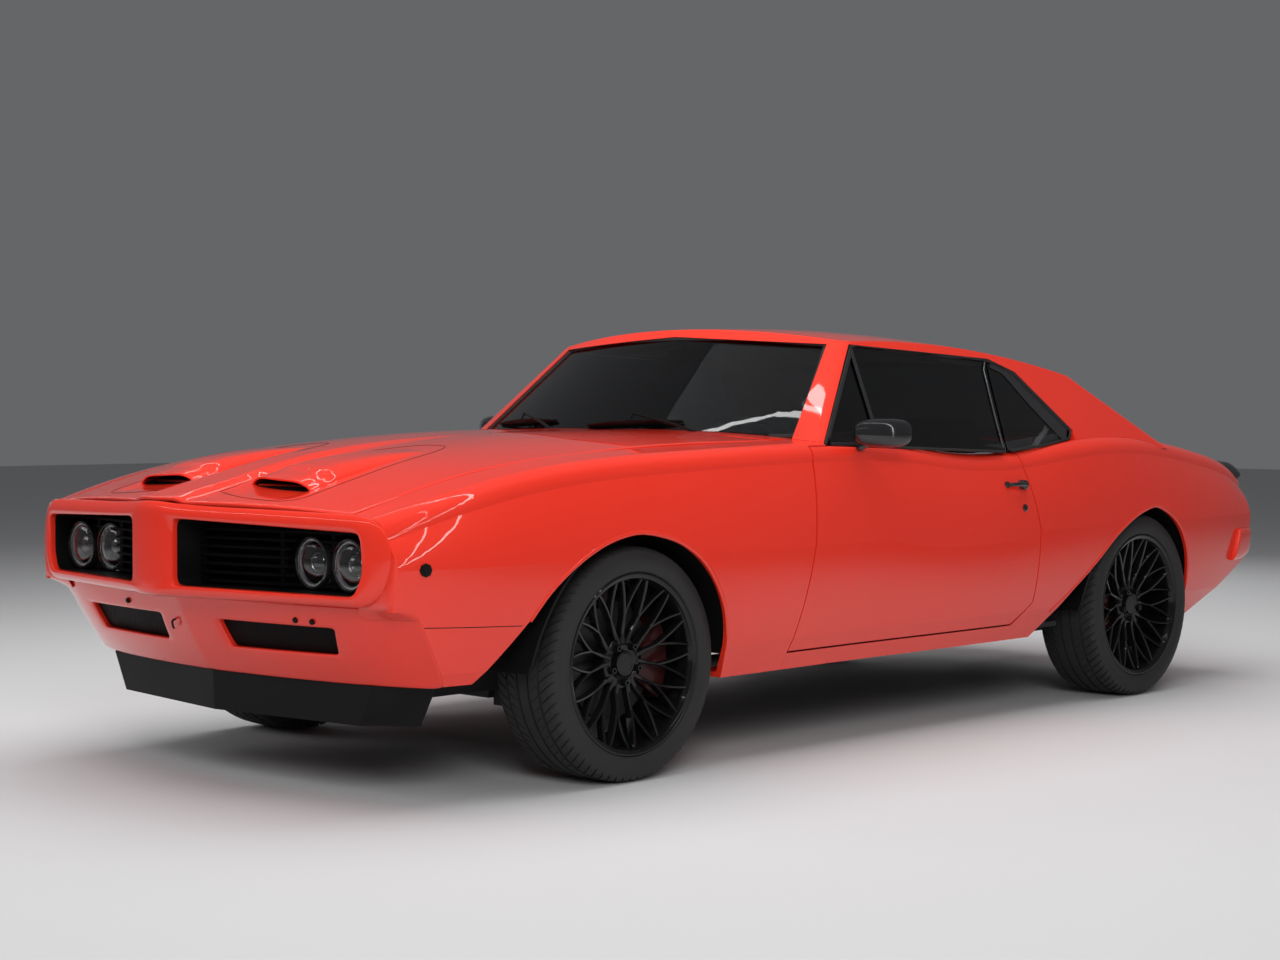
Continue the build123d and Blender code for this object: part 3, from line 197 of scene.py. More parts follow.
def leatherBuild(w):
    here = w.place()
    wear = here.noise(7, 4)
    cells = here.node("ShaderNodeTexVoronoi", {"feature": "DISTANCE_TO_EDGE"},
                      {"Vector": here, "Scale": leatherLook["grainScale"]})
    return {
        "Base Color": wear.mix(*leatherLook["shades"]),
        "Roughness": 0.42 + 0.2 * wear,
        "Normal": cells.bump(leatherLook["grainDeep"], 0.6),
    }


wireLook = {"shades": (rgb(0.0015, 0.0015, 0.0015), rgb(0.0055, 0.0055, 0.006)), "pitch": 700}


def meshBuild(w):
    # woven wire: a square lattice over near-black
    x, _, z = w.place().axes()
    lattice = (x * wireLook["pitch"]).sin() * (z * wireLook["pitch"]).sin()
    return {
        "Base Color": lattice.over(0.0).mix(*wireLook["shades"]),
        "Roughness": 0.5 + 0.15 * lattice,
        "Normal": lattice.bump(0.001, 0.8),
    }


# one finish for each of the part's material slots
finishes = {
    "paint": finish("redPaint", paintBuild,
                    Coat_Weight=1.0, Coat_Roughness=0.02, Coat_IOR=1.5, Specular_IOR_Level=0.15),
    "black_trim": finish("satinBlack", plasticBuild((0.003, 0.003, 0.0032), 0.50, 0.0002, 500),
                         Specular_IOR_Level=0.16),
    "gloss_black": finish("glossBlack", plasticBuild((0.008, 0.008, 0.009), 0.14, 0.00003, 200), Coat_Weight=0.6),
    "glass": finish("tintedGlass", glassBuild((0.10, 0.104, 0.108)),
                    Roughness=0.0, Transmission_Weight=1.0, IOR=1.45),
    "lamp_glass": finish("lampGlass", glassBuild((0.92, 0.93, 0.94)), Roughness=0.02, Transmission_Weight=1.0),
    "tail_lens": finish("tailLens", glassBuild((0.60, 0.02, 0.015)), Roughness=0.05, Transmission_Weight=0.4),
    "cabin": finish("cabinVinyl", plasticBuild((0.016, 0.016, 0.017), 0.55, 0.0004, 700)),
    "upholstery": finish("blackLeather", leatherBuild),
    "underbody": finish("underCoat", plasticBuild((0.022, 0.022, 0.023), 0.65, 0.0015, 160)),
    "cast_metal": finish("castMetal", metalBuild((0.23, 0.23, 0.24), 0.55, 0.001, 260), Metallic=0.8),
    "bare_steel": finish("turnedSteel", metalBuild((0.55, 0.55, 0.56), 0.3, 0.0002, 300), Metallic=1.0),
    # the calipers are red; their red is darkened far down to paint the shade they sit in behind the spokes
    "caliper_paint": finish("caliperRed", plasticBuild((0.030, 0.003, 0.003), 0.36, 0.0002, 200),
                            Coat_Weight=0.2, Specular_IOR_Level=0.2),
    "wheel_finish": finish("wheelBlack", plasticBuild((0.0025, 0.0025, 0.003), 0.20, 0.00003, 240),
                           Coat_Weight=0.5, Specular_IOR_Level=0.12),
    "tyre": finish("tyreRubber", rubberBuild),
}
for sub in frame["record"]["subparts"]:
    shown = nodes[sub["node"]]
    shown.data.materials.clear()
    shown.data.materials.append(finishes[sub["material_slot"]])
# solids that look darker than the rest of their slot
discLook = finish("discSteel", metalBuild((0.060, 0.058, 0.057), 0.42, 0.0003, 260), Metallic=0.9)
darkLooks = {
    **{f"disc_{end}_{side}": discLook for end in ("front", "rear") for side in ("left", "right")},
    "grille": finish("grilleBlack", plasticBuild((0.0012, 0.0012, 0.0013), 0.60, 0.0002, 400),
                     Specular_IOR_Level=0.06),
    "exhaust": finish("heatedSteel", metalBuild((0.085, 0.080, 0.076), 0.55, 0.0005, 220), Metallic=0.9),
}
for name, look in darkLooks.items():
    nodes[name].data.materials[0] = look
print("finishes laid on the solids")


def clear():
    # out of edit mode, nothing selected
    if bpy.context.object and bpy.context.object.mode == "EDIT":
        bpy.ops.object.mode_set(mode="OBJECT")
    bpy.ops.object.select_all(action="DESELECT")


def take(piece, edit=False):
    clear()
    piece.select_set(True)
    bpy.context.view_layer.objects.active = piece
    if edit:
        bpy.ops.object.mode_set(mode="EDIT")
        bpy.ops.mesh.select_all(action="SELECT")


def meshPiece(name, points, faces):
    # a new object from points and faces
    mesh = bpy.data.meshes.new(name)
    mesh.from_pydata([tuple(point) for point in points], [], faces)
    piece = bpy.data.objects.new(name, mesh)
    bpy.context.scene.collection.objects.link(piece)
    return piece


def quads(start, other, count, loop):
    # faces between two rows of points, by the number of each row's first point
    return [(start + j, start + (j + 1) % count, other + (j + 1) % count, other + j)
            for j in range(count if loop else count - 1)]


def skin(name, rows, loop=False, caps=False):
    # quads between rows of points, for a form that no primitive starts
    count = len(rows[0])
    faces = []
    for i in range(len(rows) - 1):
        faces += quads(i * count, (i + 1) * count, count, loop)
    if caps:
        last = (len(rows) - 1) * count
        faces += [tuple(range(count)), tuple(range(last, last + count))]
    return outward(meshPiece(name, [point for row in rows for point in row], faces))


def outward(piece):
    # doubles merged and faces turned out
    take(piece, edit=True)
    bpy.ops.mesh.remove_doubles(threshold=0.00004)
    bpy.ops.mesh.normals_make_consistent(inside=False)
    clear()
    return piece


def shape(piece, *steps):
    # each step is a modifier's type and settings, applied at once
    take(piece)
    for kind, settings in steps:
        made = piece.modifiers.new(kind, kind)
        for key, value in settings.items():
            setattr(made, key, value)
        bpy.ops.object.modifier_apply(modifier=made.name)
    clear()
    return piece


def rounded(levels):
    return ("SUBSURF", {"levels": levels, "render_levels": levels})


def walled(thick, side=-1):
    return ("SOLIDIFY", {"thickness": thick, "offset": side})


def softEdge(width, limit=math.radians(30)):
    return ("BEVEL", {"width": width, "segments": 2, "limit_method": "ANGLE", "angle_limit": limit})


def lathe(name, rings, place, turn=None, count=48):
    # a circle, then one extrude for each (radius, depth) row along its own Z
    # a last radius of 0 closes the end
    clear()
    bpy.ops.mesh.primitive_circle_add(vertices=count, radius=rings[0][0])
    piece = bpy.context.object
    piece.name = name
    bpy.ops.object.mode_set(mode="EDIT")
    bpy.ops.mesh.select_all(action="SELECT")
    bpy.ops.transform.translate(value=(0, 0, rings[0][1]))
    for (wide, deep), (nextWide, nextDeep) in zip(rings, rings[1:]):
        bpy.ops.mesh.extrude_region_move(TRANSFORM_OT_translate={"value": (0, 0, nextDeep - deep)})
        if nextWide == 0:
            bpy.ops.mesh.merge(type="CENTER")
        else:
            bpy.ops.transform.resize(value=(nextWide / wide, nextWide / wide, 1), center_override=(0, 0, 0))
    bpy.ops.object.mode_set(mode="OBJECT")
    if turn is not None:
        piece.data.transform(turn.to_4x4())
    piece.data.transform(Matrix.Translation(place))
    return outward(piece)


def rod(name, path, wide, count=8, flat=1.0, loop=False, upright=(0, 0, 1)):
    # a bar of oval section along a path, its ends closed; flat squeezes it along the upright
    points = [Vector(point) for point in path]
    rows = []
    for i, point in enumerate(points):
        before = points[i - 1] if i or loop else point
        after = points[(i + 1) % len(points)] if i + 1 < len(points) or loop else point
        ahead = (after - before).normalized()
        across = ahead.cross(Vector(upright)).normalized()
        up = across.cross(ahead)
        half = wide[i] if isinstance(wide, (list, tuple)) else wide
        ring = [2 * math.pi * k / count for k in range(count)]
        rows.append([point + across * half * math.cos(a) + up * half * flat * math.sin(a) for a in ring])
    if loop:
        rows.append(rows[0])
    return skin(name, rows, loop=True, caps=not loop)


def joined(name, pieces):
    clear()
    for piece in pieces:
        piece.select_set(True)
    bpy.context.view_layer.objects.active = pieces[0]
    bpy.ops.object.join()
    pieces[0].name = name
    clear()
    return pieces[0]


def settle(piece, body, slotName, look=None, angle=38, hides=()):
    # smooths a finished mesh, gives it its finish and hands it to its body
    take(piece)
    bpy.ops.object.shade_smooth_by_angle(angle=math.radians(angle))
    clear()
    piece.data.materials.clear()
    piece.data.materials.append(look or finishes[slotName])
    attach(piece, body)
    if hides:
        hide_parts(*hides)
    return piece


def copied(piece, name, move):
    # one more of a piece, with its own mesh
    other = piece.copy()
    other.data = piece.data.copy()
    other.name = name
    other.data.transform(move)
    if move.determinant() < 0:
        other.data.flip_normals()
    bpy.context.scene.collection.objects.link(other)
    return other


overSide = Matrix.Scale(-1, 4, (1, 0, 0))
# turns for lathed pieces, by the way that their depth then runs
toLeft, toRight = (Matrix.Rotation(math.radians(angle), 4, "Y") for angle in (90, -90))
toFront, toRear = (Matrix.Rotation(math.radians(angle), 4, "X") for angle in (90, -90))
# the bodies that a pair of pieces rides on
onBody, onHood, onDoors = ("body", "body"), ("hood", "hood"), ("door_left", "door_right")


def settlePair(piece, bodies, slotName, hides=((), ()), **more):
    # the left piece and its twin on the right, each with its side added to the name
    stem = piece.name
    other = copied(piece, stem + "Right", overSide)
    piece.name = stem + "Left"
    settle(piece, bodies[0], slotName, hides=hides[0], **more)
    settle(other, bodies[1], slotName, hides=hides[1], **more)


def spread(low, high, count):
    # even steps from one value to another
    return [low + (high - low) * i / count for i in range(count + 1)]


def along(points, shares):
    # places on a polyline by shares of its length
    spans = [math.dist(a, b) for a, b in zip(points, points[1:])]
    whole = sum(spans)
    placed = []
    for share in shares:
        left = share * whole
        for i, span in enumerate(spans):
            if left <= span or i == len(spans) - 1:
                part = left / span
                placed.append(tuple(a + (b - a) * part for a, b in zip(points[i], points[i + 1])))
                break
            left -= span
    return placed


def reading(table, place):
    # a value read off a two-column table by straight lines
    for (low, a), (high, b) in zip(table, table[1:]):
        if place <= high:
            return a + (b - a) * (place - low) / (high - low)
    return table[-1][1]


def ease(value, low, high):
    share = min(1, max(0, (value - low) / (high - low)))
    return share * share * (3 - 2 * share)


def window(value, rise, full, fall, end):
    # 1 between two places, eased to 0 outside them
    return ease(value, rise, full) * (1 - ease(value, fall, end))


def between(a, b, share):
    return tuple(p + (q - p) * share for p, q in zip(a, b))


def smoothPath(points, steps=6):
    # a rounded path through a few places
    padded = [points[0]] + list(points) + [points[-1]]
    path = []
    for a, b, c, d in zip(padded, padded[1:], padded[2:], padded[3:]):
        for k in range(steps):
            t = k / steps
            path.append(tuple(0.5 * (2 * q + (r - p) * t + (2 * p - 5 * q + 4 * r - s) * t * t
                                     + (3 * q - p - 3 * r + s) * t**3) for p, q, r, s in zip(a, b, c, d)))
    return path + [tuple(points[-1])]


def squared(count, power):
    # a loop of places (across, up) on a rounded square, a circle at power 2
    angles = [2 * math.pi * k / count for k in range(count)]
    return [tuple(math.copysign(abs(part) ** (2 / power), part) for part in (math.cos(a), math.sin(a)))
            for a in angles]


def caster(node):
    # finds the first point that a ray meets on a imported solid
    mesh = nodes[node].data
    tree = BVHTree.FromPolygons([v.co for v in mesh.vertices], [tuple(p.vertices) for p in mesh.polygons])
    return lambda start, way: tree.ray_cast(Vector(start), Vector(way))[0]


farOut = {"side": 1.3, "end": 3}  # where rays start, well outside the car


def sideOf(node):
    # tells how far out a packed side panel stands at a place (y, z), or None beside it
    cast = caster(node)

    def out(y, z):
        hit = cast((farOut["side"], y, z), (-1, 0, 0))
        return hit.x if hit else None
    return out


# hood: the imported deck's form, with a spine behind the beak and two scoops
# columns: place along the car, deck half width, deck height at that width, height on the centre line
deckRows = [(-2.415, 0.680, 0.742, 0.806), (-2.215, 0.750, 0.796, 0.852), (-1.855, 0.786, 0.886, 0.932),
            (-1.335, 0.798, 0.946, 0.990), (-0.635, 0.802, 0.972, 1.008), (0.065, 0.798, 0.957, 0.996)]
hoodForm = {
    "crown": 0.016, "columns": 72, "rows": 84, "thick": 0.012, "edge": 0.004,
    "nose": [(0, -2.382), (0.080, -2.374), (0.690, -2.240)], "rearWide": 0.742, "rear": -0.566, "bow": 0.169,
    "spineHalf": [(-2.40, 0.082), (-2.10, 0.070), (-1.60, 0.042), (-1.10, 0.020)],
    "spineHigh": [(-2.40, 0.010), (-2.25, 0.017), (-2.00, 0.018), (-1.60, 0.010), (-1.15, 0.0)],
    "spineFlank": 0.034,
    # the dish before each scoop: its depth, then where it begins, is full, starts to fade and ends
    "dish": 0.007, "dishX": (0.13, 0.17, 0.38, 0.42), "dishY": (-2.27, -2.18, -2.10, -2.05),
}


def deckHeight(x, y):
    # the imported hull's top: an arc across each station, a smooth curve along the car
    heights = []
    for _, half, low, high in deckRows:
        share = 1 - abs(x) / half
        heights.append(low + (high - low) * share + 4 * hoodForm["crown"] * share * (1 - share))
    places = [row[0] for row in deckRows]
    i = max(1, min(len(places) - 3, sum(place <= y for place in places) - 1))

    def slope(k):
        before = (heights[k] - heights[k - 1]) / (places[k] - places[k - 1])
        after = (heights[k + 1] - heights[k]) / (places[k + 1] - places[k])
        first, second = places[k] - places[k - 1], places[k + 1] - places[k]
        return (before * second + after * first) / (first + second)
    span = places[i + 1] - places[i]
    t = (y - places[i]) / span
    return ((2 * t**3 - 3 * t**2 + 1) * heights[i] + (t**3 - 2 * t**2 + t) * span * slope(i)
            + (3 * t**2 - 2 * t**3) * heights[i + 1] + (t**3 - t**2) * span * slope(i + 1))


def hoodHeight(x, y):
    half = reading(hoodForm["spineHalf"], y)
    high = reading(hoodForm["spineHigh"], y)
    flank = 1 - ease(abs(x), half, half + hoodForm["spineFlank"])
    dish = window(abs(x), *hoodForm["dishX"]) * window(y, *hoodForm["dishY"])
    return deckHeight(x, y) + high * flank - hoodForm["dish"] * dish


def makeHood():
    radius = (hoodForm["rearWide"]**2 + hoodForm["bow"]**2) / (2 * hoodForm["bow"])
    rows = []
    for v in spread(0, 1, hoodForm["rows"]):
        row = []
        for u in spread(-1, 1, hoodForm["columns"]):
            front, rear = u * hoodForm["nose"][-1][0], u * hoodForm["rearWide"]
            noseY = reading(hoodForm["nose"], abs(front))
            rearY = hoodForm["rear"] - hoodForm["bow"] + radius - math.sqrt(radius**2 - rear**2)
            x, y = front + (rear - front) * v, noseY + (rearY - noseY) * v
            row.append((x, y, hoodHeight(x, y)))
        rows.append(row)
    hood = skin("hoodSkin", rows)
    shape(hood, walled(hoodForm["thick"]), softEdge(hoodForm["edge"]))
    settle(hood, "hood", "paint", hides=["hood"])


# scoop columns: place along the car, inner x, outer x, height over the hood
scoopRows = [(-2.168, 0.140, 0.410, 0.036), (-2.12, 0.142, 0.408, 0.037), (-1.975, 0.152, 0.398, 0.031),
             (-1.80, 0.172, 0.378, 0.016), (-1.64, 0.192, 0.358, 0.0)]
scoopForm = {
    "columns": 24, "rows": 26, "gather": 1.3, "power": 5.0, "swell": 0.8, "sink": 0.003, "wall": 0.006,
    "edge": 0.002, "sweep": 0.016, "sweepEnd": -1.95,
    # the dark throat: places back from the mouth, share of the width, gaps under the shell and over the hood
    "throat": (0.007, 0.04, 0.085), "throatWide": 0.93, "throatDrop": 0.007, "throatFoot": 0.001,
    "throatReach": 0.004,  # how near the throat's end a point is taken into its end face
}


def scoopPoint(y, s, drop=0.0):
    inner, outer, high = (reading([(row[0], row[k]) for row in scoopRows], y) for k in (1, 2, 3))
    x = (inner + outer) / 2 + (outer - inner) / 2 * s
    lift = high * max(0, 1 - abs(s) ** scoopForm["power"]) ** scoopForm["swell"]
    place = y + scoopForm["sweep"] * s * s * (1 - ease(y, scoopRows[0][0], scoopForm["sweepEnd"]))
    return (x, place, hoodHeight(x, place) + lift - scoopForm["sink"] - drop)


def makeScoops():
    first, last = scoopRows[0][0], scoopRows[-1][0]
    sides = spread(-1, 1, scoopForm["columns"])
    steps = [first + (last - first) * share ** scoopForm["gather"] for share in spread(0, 1, scoopForm["rows"])]
    shell = skin("scoop", [[scoopPoint(y, s) for s in sides] for y in steps])
    shape(shell, walled(scoopForm["wall"]), softEdge(scoopForm["edge"]))
    settlePair(shell, onHood, "paint")
    throatRows = []
    for back in scoopForm["throat"]:
        top = [scoopPoint(first + back, s * scoopForm["throatWide"], scoopForm["throatDrop"]) for s in sides]
        foot = [(x, place, hoodHeight(x, place) + scoopForm["throatFoot"]) for x, place, _ in reversed(top)]
        throatRows.append(top + foot)
    throat = skin("scoopThroat", throatRows, loop=True)
    take(throat, edit=True)
    bpy.ops.mesh.select_all(action="DESELECT")
    bpy.ops.object.mode_set(mode="OBJECT")
    for vertex in throat.data.vertices:
        vertex.select = vertex.co.y > first + scoopForm["throat"][-1] - scoopForm["throatReach"]
    bpy.ops.object.mode_set(mode="EDIT")
    bpy.ops.mesh.select_mode(type="VERT")
    bpy.ops.mesh.edge_face_add()
    clear()
    settlePair(throat, onHood, "black_trim")


# under the hood: stiffening ribs as lists of places (x, y), and an arm at each hinge
hoodRibs = {
    "lines": [[(0.560, -2.050), (0.600, -1.500), (0.610, -0.850)],
              [(0.540, -2.020), (0.300, -1.560), (0.060, -1.150)],
              [(0.060, -1.150), (0.320, -0.980), (0.590, -0.860)]],
    "across": [[(-0.560, -2.060), (0, -2.130), (0.560, -2.060)], [(-0.610, -0.850), (0, -0.900), (0.610, -0.850)]],
    "half": 0.030, "flat": 0.42, "drop": 0.018, "armHalf": 0.0095,
    "arm": [(0.730, -0.640, 0.961), (0.730, -0.600, 0.964), (0.730, -0.556, 0.969), (0.730, -0.531, 0.9705)],
}


def makeHoodRibs():
    def under(lines):
        paths = [[(x, y, deckHeight(x, y) - hoodRibs["drop"]) for x, y in smoothPath(line, 8)] for line in lines]
        return [rod("rib", path, hoodRibs["half"], 12, hoodRibs["flat"]) for path in paths]
    ribs = under(hoodRibs["lines"])
    ribs.append(rod("hingeArm", hoodRibs["arm"], hoodRibs["armHalf"], 12))
    settlePair(joined("hoodRibs", ribs), onHood, "paint", angle=60)
    settle(joined("hoodCrossRibs", under(hoodRibs["across"])), "hood", "paint", angle=60)


makeHood()
makeScoops()
makeHoodRibs()
print("hood and scoops made")

# nose bumper: one half in rings round its opening, mirrored; x and z in front view
bumper = {
    "face": [(0, -2.415), (0.060, -2.412), (0.096, -2.397), (0.743, -2.262), (0.800, -2.243), (0.834, -2.227)],
    "backTop": [(0, -2.391), (0.080, -2.383), (0.690, -2.249), (0.840, -2.216)],
    "backFoot": [(0, -2.300), (0.690, -2.212), (0.800, -2.200), (0.840, -2.216)],
    "opening": [(0.095, 0.588), (0.722, 0.584), (0.750, 0.640), (0.746, 0.752), (0.095, 0.774)],
    "inner": [(0, 0.573), (0.735, 0.573), (0.776, 0.602), (0.812, 0.665), (0.808, 0.718), (0.778, 0.766),
              (0.735, 0.782), (0, 0.798)],
    "outer": [(0, 0.551), (0.744, 0.554), (0.797, 0.586), (0.840, 0.665), (0.834, 0.724), (0.798, 0.784),
              (0.745, 0.798), (0.690, 0.801), (0.400, 0.8075), (0.125, 0.8105), (0.078, 0.8195), (0, 0.8210)],
    # places behind the face: the opening's wall, the inner rim and the outer edge
    "lip": 0.012, "holeBacks": (0.035, 0.016, 0.006), "rimBack": 0.001, "edgeBack": 0.014, "edgeGap": 0.003,
    "footHeights": (0.57, 0.66), "backShare": 0.7,
    # the dark wall inside the opening: places behind the face, then shares and shifts that set it in
    "wallBacks": (0.024, 0.04, 0.08, 0.118), "wallX": (0.998, 0.0006), "wallZ": (0.996, 0.0027),
}
# where the points of a loop stand on its foot and top, its outer end and the centre line
sideShares = {"long": [0, 0.06, 0.14, 0.3, 0.5, 0.7, 0.86, 0.94], "end": [0, 0.18, 0.38, 0.6, 0.82],
              "centre": [0, 0.2, 0.5, 0.8]}


def ringOf(foot, end, top, centre):
    # one loop of points from its four sides, each a polyline
    return (along(foot, sideShares["long"]) + along(end, sideShares["end"])
            + along(top, sideShares["long"]) + along(centre, sideShares["centre"]))


def halfPiece(name, rings, strips=()):
    # quads between closed rings, then open strips that leave out the centre line; mirrored and rounded
    count = len(rings[0])
    opened = count - len(sideShares["centre"]) + 1
    faces = []
    for r in range(len(rings) - 1):
        faces += quads(r * count, (r + 1) * count, count, True)
    starts = [(len(rings) - 1) * count] + [len(rings) * count + i * opened for i in range(len(strips))]
    for a, b in zip(starts, starts[1:]):
        faces += quads(a, b, opened, False)
    piece = meshPiece(name, [point for row in (*rings, *strips) for point in row], faces)
    shape(piece, ("MIRROR", {"merge_threshold": 0.001, "use_clip": True}))
    outward(piece)
    return shape(piece, rounded(2))


def makeBumper():
    opening, inner, outer = bumper["opening"], bumper["inner"], bumper["outer"]
    hole = ringOf(opening[0:2], opening[1:4], opening[3:5], [opening[4], opening[0]])
    rim = ringOf(inner[0:2], inner[1:7], inner[6:8], [inner[7], inner[0]])
    edge = (along(outer[0:2], sideShares["long"]) + along(outer[1:7], sideShares["end"])
            + along(outer[6:], sideShares["long"] + [1]))

    def face(x):
        return reading(bumper["face"], x)
    rings = [[(x, face(x) + back, z) for x, z in hole] for back in bumper["holeBacks"]]
    lip = [between(a, b, min(0.5, bumper["lip"] / math.dist(a, b))) for a, b in zip(hole, rim)]
    rings.append([(x, face(x), z) for x, z in lip])
    rings.append([(x, face(x) + bumper["rimBack"], z) for x, z in rim])
    fronts, middles, backs = [], [], []
    for x, z in edge:
        top = reading(bumper["backTop"], x)
        low = 1 - ease(z, *bumper["footHeights"])
        front = min(face(x) + bumper["edgeBack"], top - bumper["edgeGap"])
        back = top * (1 - low) + reading(bumper["backFoot"], x) * low
        fronts.append((x, front, z))
        middles.append((x, front * (1 - bumper["backShare"]) + back * bumper["backShare"], z))
        backs.append((x, back, z))
    settle(halfPiece("noseBumper", rings, [fronts, middles, backs]), "body", "paint",
           hides=["front_bumper"], angle=60)
    (shareX, moveX), (shareZ, moveZ) = bumper["wallX"], bumper["wallZ"]
    wall = [[(x * shareX + moveX, face(x) + back, z * shareZ + moveZ) for x, z in hole]
            for back in bumper["wallBacks"]]
    settle(halfPiece("grilleSurround", wall), "body", "black_trim", angle=60)


makeBumper()
print("nose bumper made")

# front valance: one half round its air opening, with a black mesh behind it
valance = {
    "top": [(0, -2.307), (0.30, -2.283), (0.52, -2.255), (0.690, -2.218), (0.775, -2.190), (0.838, -2.154)],
    "foot": [(0, -2.191), (0.30, -2.169), (0.50, -2.139), (0.640, -2.106), (0.735, -2.068), (0.806, -2.026)],
    "low": 0.328, "high": 0.5515, "bulge": 0.012, "bulgeEnd": (0.70, 0.83),
    "opening": [(0.150, 0.412), (0.560, 0.414), (0.582, 0.489), (0.138, 0.489)],
    "outer": [(0, 0.328), (0.812, 0.328), (0.824, 0.360), (0.834, 0.400), (0.840, 0.440), (0.8443, 0.480),
              (0.8466, 0.520), (0.8468, 0.5515), (0, 0.5515)],
    "holeBacks": (0.026, 0.012, 0.004), "shares": (0.10, 0.35, 0.65, 0.9), "turn": 0.014,
    "screenX": (0.125, 0.595), "screenZ": (0.398, 0.502), "screenBack": 0.022, "screenThick": 0.004,
}


def valanceFace(x, z):
    share = (z - valance["low"]) / (valance["high"] - valance["low"])
    top, foot = reading(valance["top"], x), reading(valance["foot"], x)
    bulge = valance["bulge"] * math.sin(math.pi * share) * (1 - ease(x, *valance["bulgeEnd"]))
    return foot + (top - foot) * share - bulge


def makeValance():
    def onFace(places, back=0.0):
        return [(x, valanceFace(x, z) + back, z) for x, z in places]
    opening, outer = valance["opening"], valance["outer"]
    hole = ringOf(opening[0:2], opening[1:3], opening[2:4], [opening[3], opening[0]])
    rim = ringOf(outer[0:2], outer[1:8], outer[7:9], [outer[8], outer[0]])
    rings = [onFace(hole, back) for back in valance["holeBacks"]]
    rings += [onFace([between(a, b, share) for a, b in zip(hole, rim)]) for share in valance["shares"]]
    rings.append(onFace(rim))
    turned = onFace(rim[:len(rim) - len(sideShares["centre"]) + 1], valance["turn"])
    settle(halfPiece("frontValance", rings, [turned]), "body", "paint", hides=["front_valance"], angle=60)
    across, levels = spread(*valance["screenX"], 20), spread(*valance["screenZ"], 6)
    screen = skin("valanceScreen", [onFace([(x, z) for x in across], valance["screenBack"]) for z in levels])
    shape(screen, walled(valance["screenThick"]))
    settlePair(screen, onBody, "black_trim", look=meshLook)


# fairing under each end of the bumper, from the valance's top round the fender's corner
# each row: height, then places (x, y)
noseCorner = [(0.522, [(0.690, -2.2080), (0.755, -2.1845), (0.803, -2.1575), (0.833, -2.1425), (0.8475, -2.1375)]),
              (0.540, [(0.695, -2.2160), (0.760, -2.2040), (0.808, -2.1940), (0.836, -2.1770), (0.8492, -2.1455)]),
              (0.552, [(0.700, -2.2220), (0.765, -2.2215), (0.812, -2.2230), (0.835, -2.2190), (0.8495, -2.1560)]),
              (0.575, [(0.715, -2.2225), (0.775, -2.2230), (0.815, -2.2230), (0.8385, -2.2185), (0.8500, -2.1690)]),
              (0.605, [(0.740, -2.2225), (0.790, -2.2235), (0.820, -2.2230), (0.8415, -2.2180), (0.8490, -2.1860)]),
              (0.640, [(0.765, -2.2215), (0.800, -2.2225), (0.824, -2.2215), (0.8440, -2.2170), (0.8475, -2.2050)]),
              (0.690, [(0.775, -2.2205), (0.806, -2.2215), (0.824, -2.2205), (0.8435, -2.2165), (0.8450, -2.2120)])]


def makeNoseCorner():
    corner = skin("noseCorner", [[(x, y, z) for x, y in row] for z, row in noseCorner])
    shape(corner, rounded(2), walled(0.003, 0))
    settlePair(corner, onBody, "paint", angle=60)


meshLook = finish("blackMesh", meshBuild, Specular_IOR_Level=0.06)
makeValance()
makeNoseCorner()
print("front valance made")

# headlamps: four alike, each a rim, a pale ring, a bowl and a projector lens under a clear cover
lamp = {"x": (0.484, 0.645), "y": -2.206, "z": 0.661}
# name, slot, wall thickness and side, then rings of (radius, depth)
lampParts = [
    ("lampRim", "gloss_black", (0.0012, 1),
     [(0.072, 0.060), (0.073, 0.004), (0.0705, -0.004), (0.0665, -0.005), (0.0635, 0.002), (0.0630, 0.012),
      (0.0600, 0.014)]),
    ("lampRing", "bare_steel", (0.0012, 1),
     [(0.0632, 0.006), (0.0622, 0.0015), (0.0598, 0.0012), (0.0586, 0.005), (0.0575, 0.011)]),
    ("lampBowl", "gloss_black", None,
     [(0.0578, 0.009), (0.0540, 0.018), (0.0460, 0.027), (0.0385, 0.031), (0.0385, 0.022), (0.0345, 0.022),
      (0.0340, 0.040), (0, 0.040)]),
    ("lampLens", "lamp_glass", (0.006, -1),
     [(0.0335, 0.034), (0.0335, 0.026), (0.0310, 0.019), (0.0250, 0.0125), (0.0150, 0.0085), (0, 0.007)]),
    ("lampCover", "lamp_glass", (0.0015, -1),
     [(0.0640, 0.003), (0.0600, -0.001), (0.0450, -0.005), (0.0250, -0.008), (0, -0.009)]),
]


def makeLamps():
    looks = {"lampRing": ringLook, "lampBowl": finishes["black_trim"]}
    places = [(side * x, lamp["y"], lamp["z"]) for side in (1, -1) for x in lamp["x"]]
    for name, slotName, wall, rings in lampParts:
        made = lathe(name, rings, (0, 0, 0), toRear, 64)
        if wall:
            shape(made, walled(*wall))
        for number, place in enumerate(places, 1):
            one = copied(made, f"{name}{number}", Matrix.Translation(place))
            settle(one, "body", slotName, look=looks.get(name), hides=["headlamps"] if name == "lampRim" else ())
        bpy.data.objects.remove(made)


# panel behind the grille slats, so that nothing shows through the nose
grilleBack = {"line": [(0, -2.272), (0.095, -2.262), (0.735, -2.128)], "low": 0.572, "high": 0.785,
              "thick": 0.006, "edge": 0.002}


def makeGrilleBack():
    places = along(grilleBack["line"], spread(0, 1, 12))
    levels = spread(grilleBack["low"], grilleBack["high"], 4)
    back = skin("grilleBack", [[(x, y, z) for x, y in places] for z in levels])
    shape(back, walled(grilleBack["thick"]), softEdge(grilleBack["edge"]))
    settlePair(back, onBody, "black_trim", look=meshLook)


ringLook = finish("lampRingPale", metalBuild((0.78, 0.79, 0.80), 0.28, 0.0001, 200), Metallic=0.6)
makeLamps()
makeGrilleBack()
print("lamps and grille backs made")

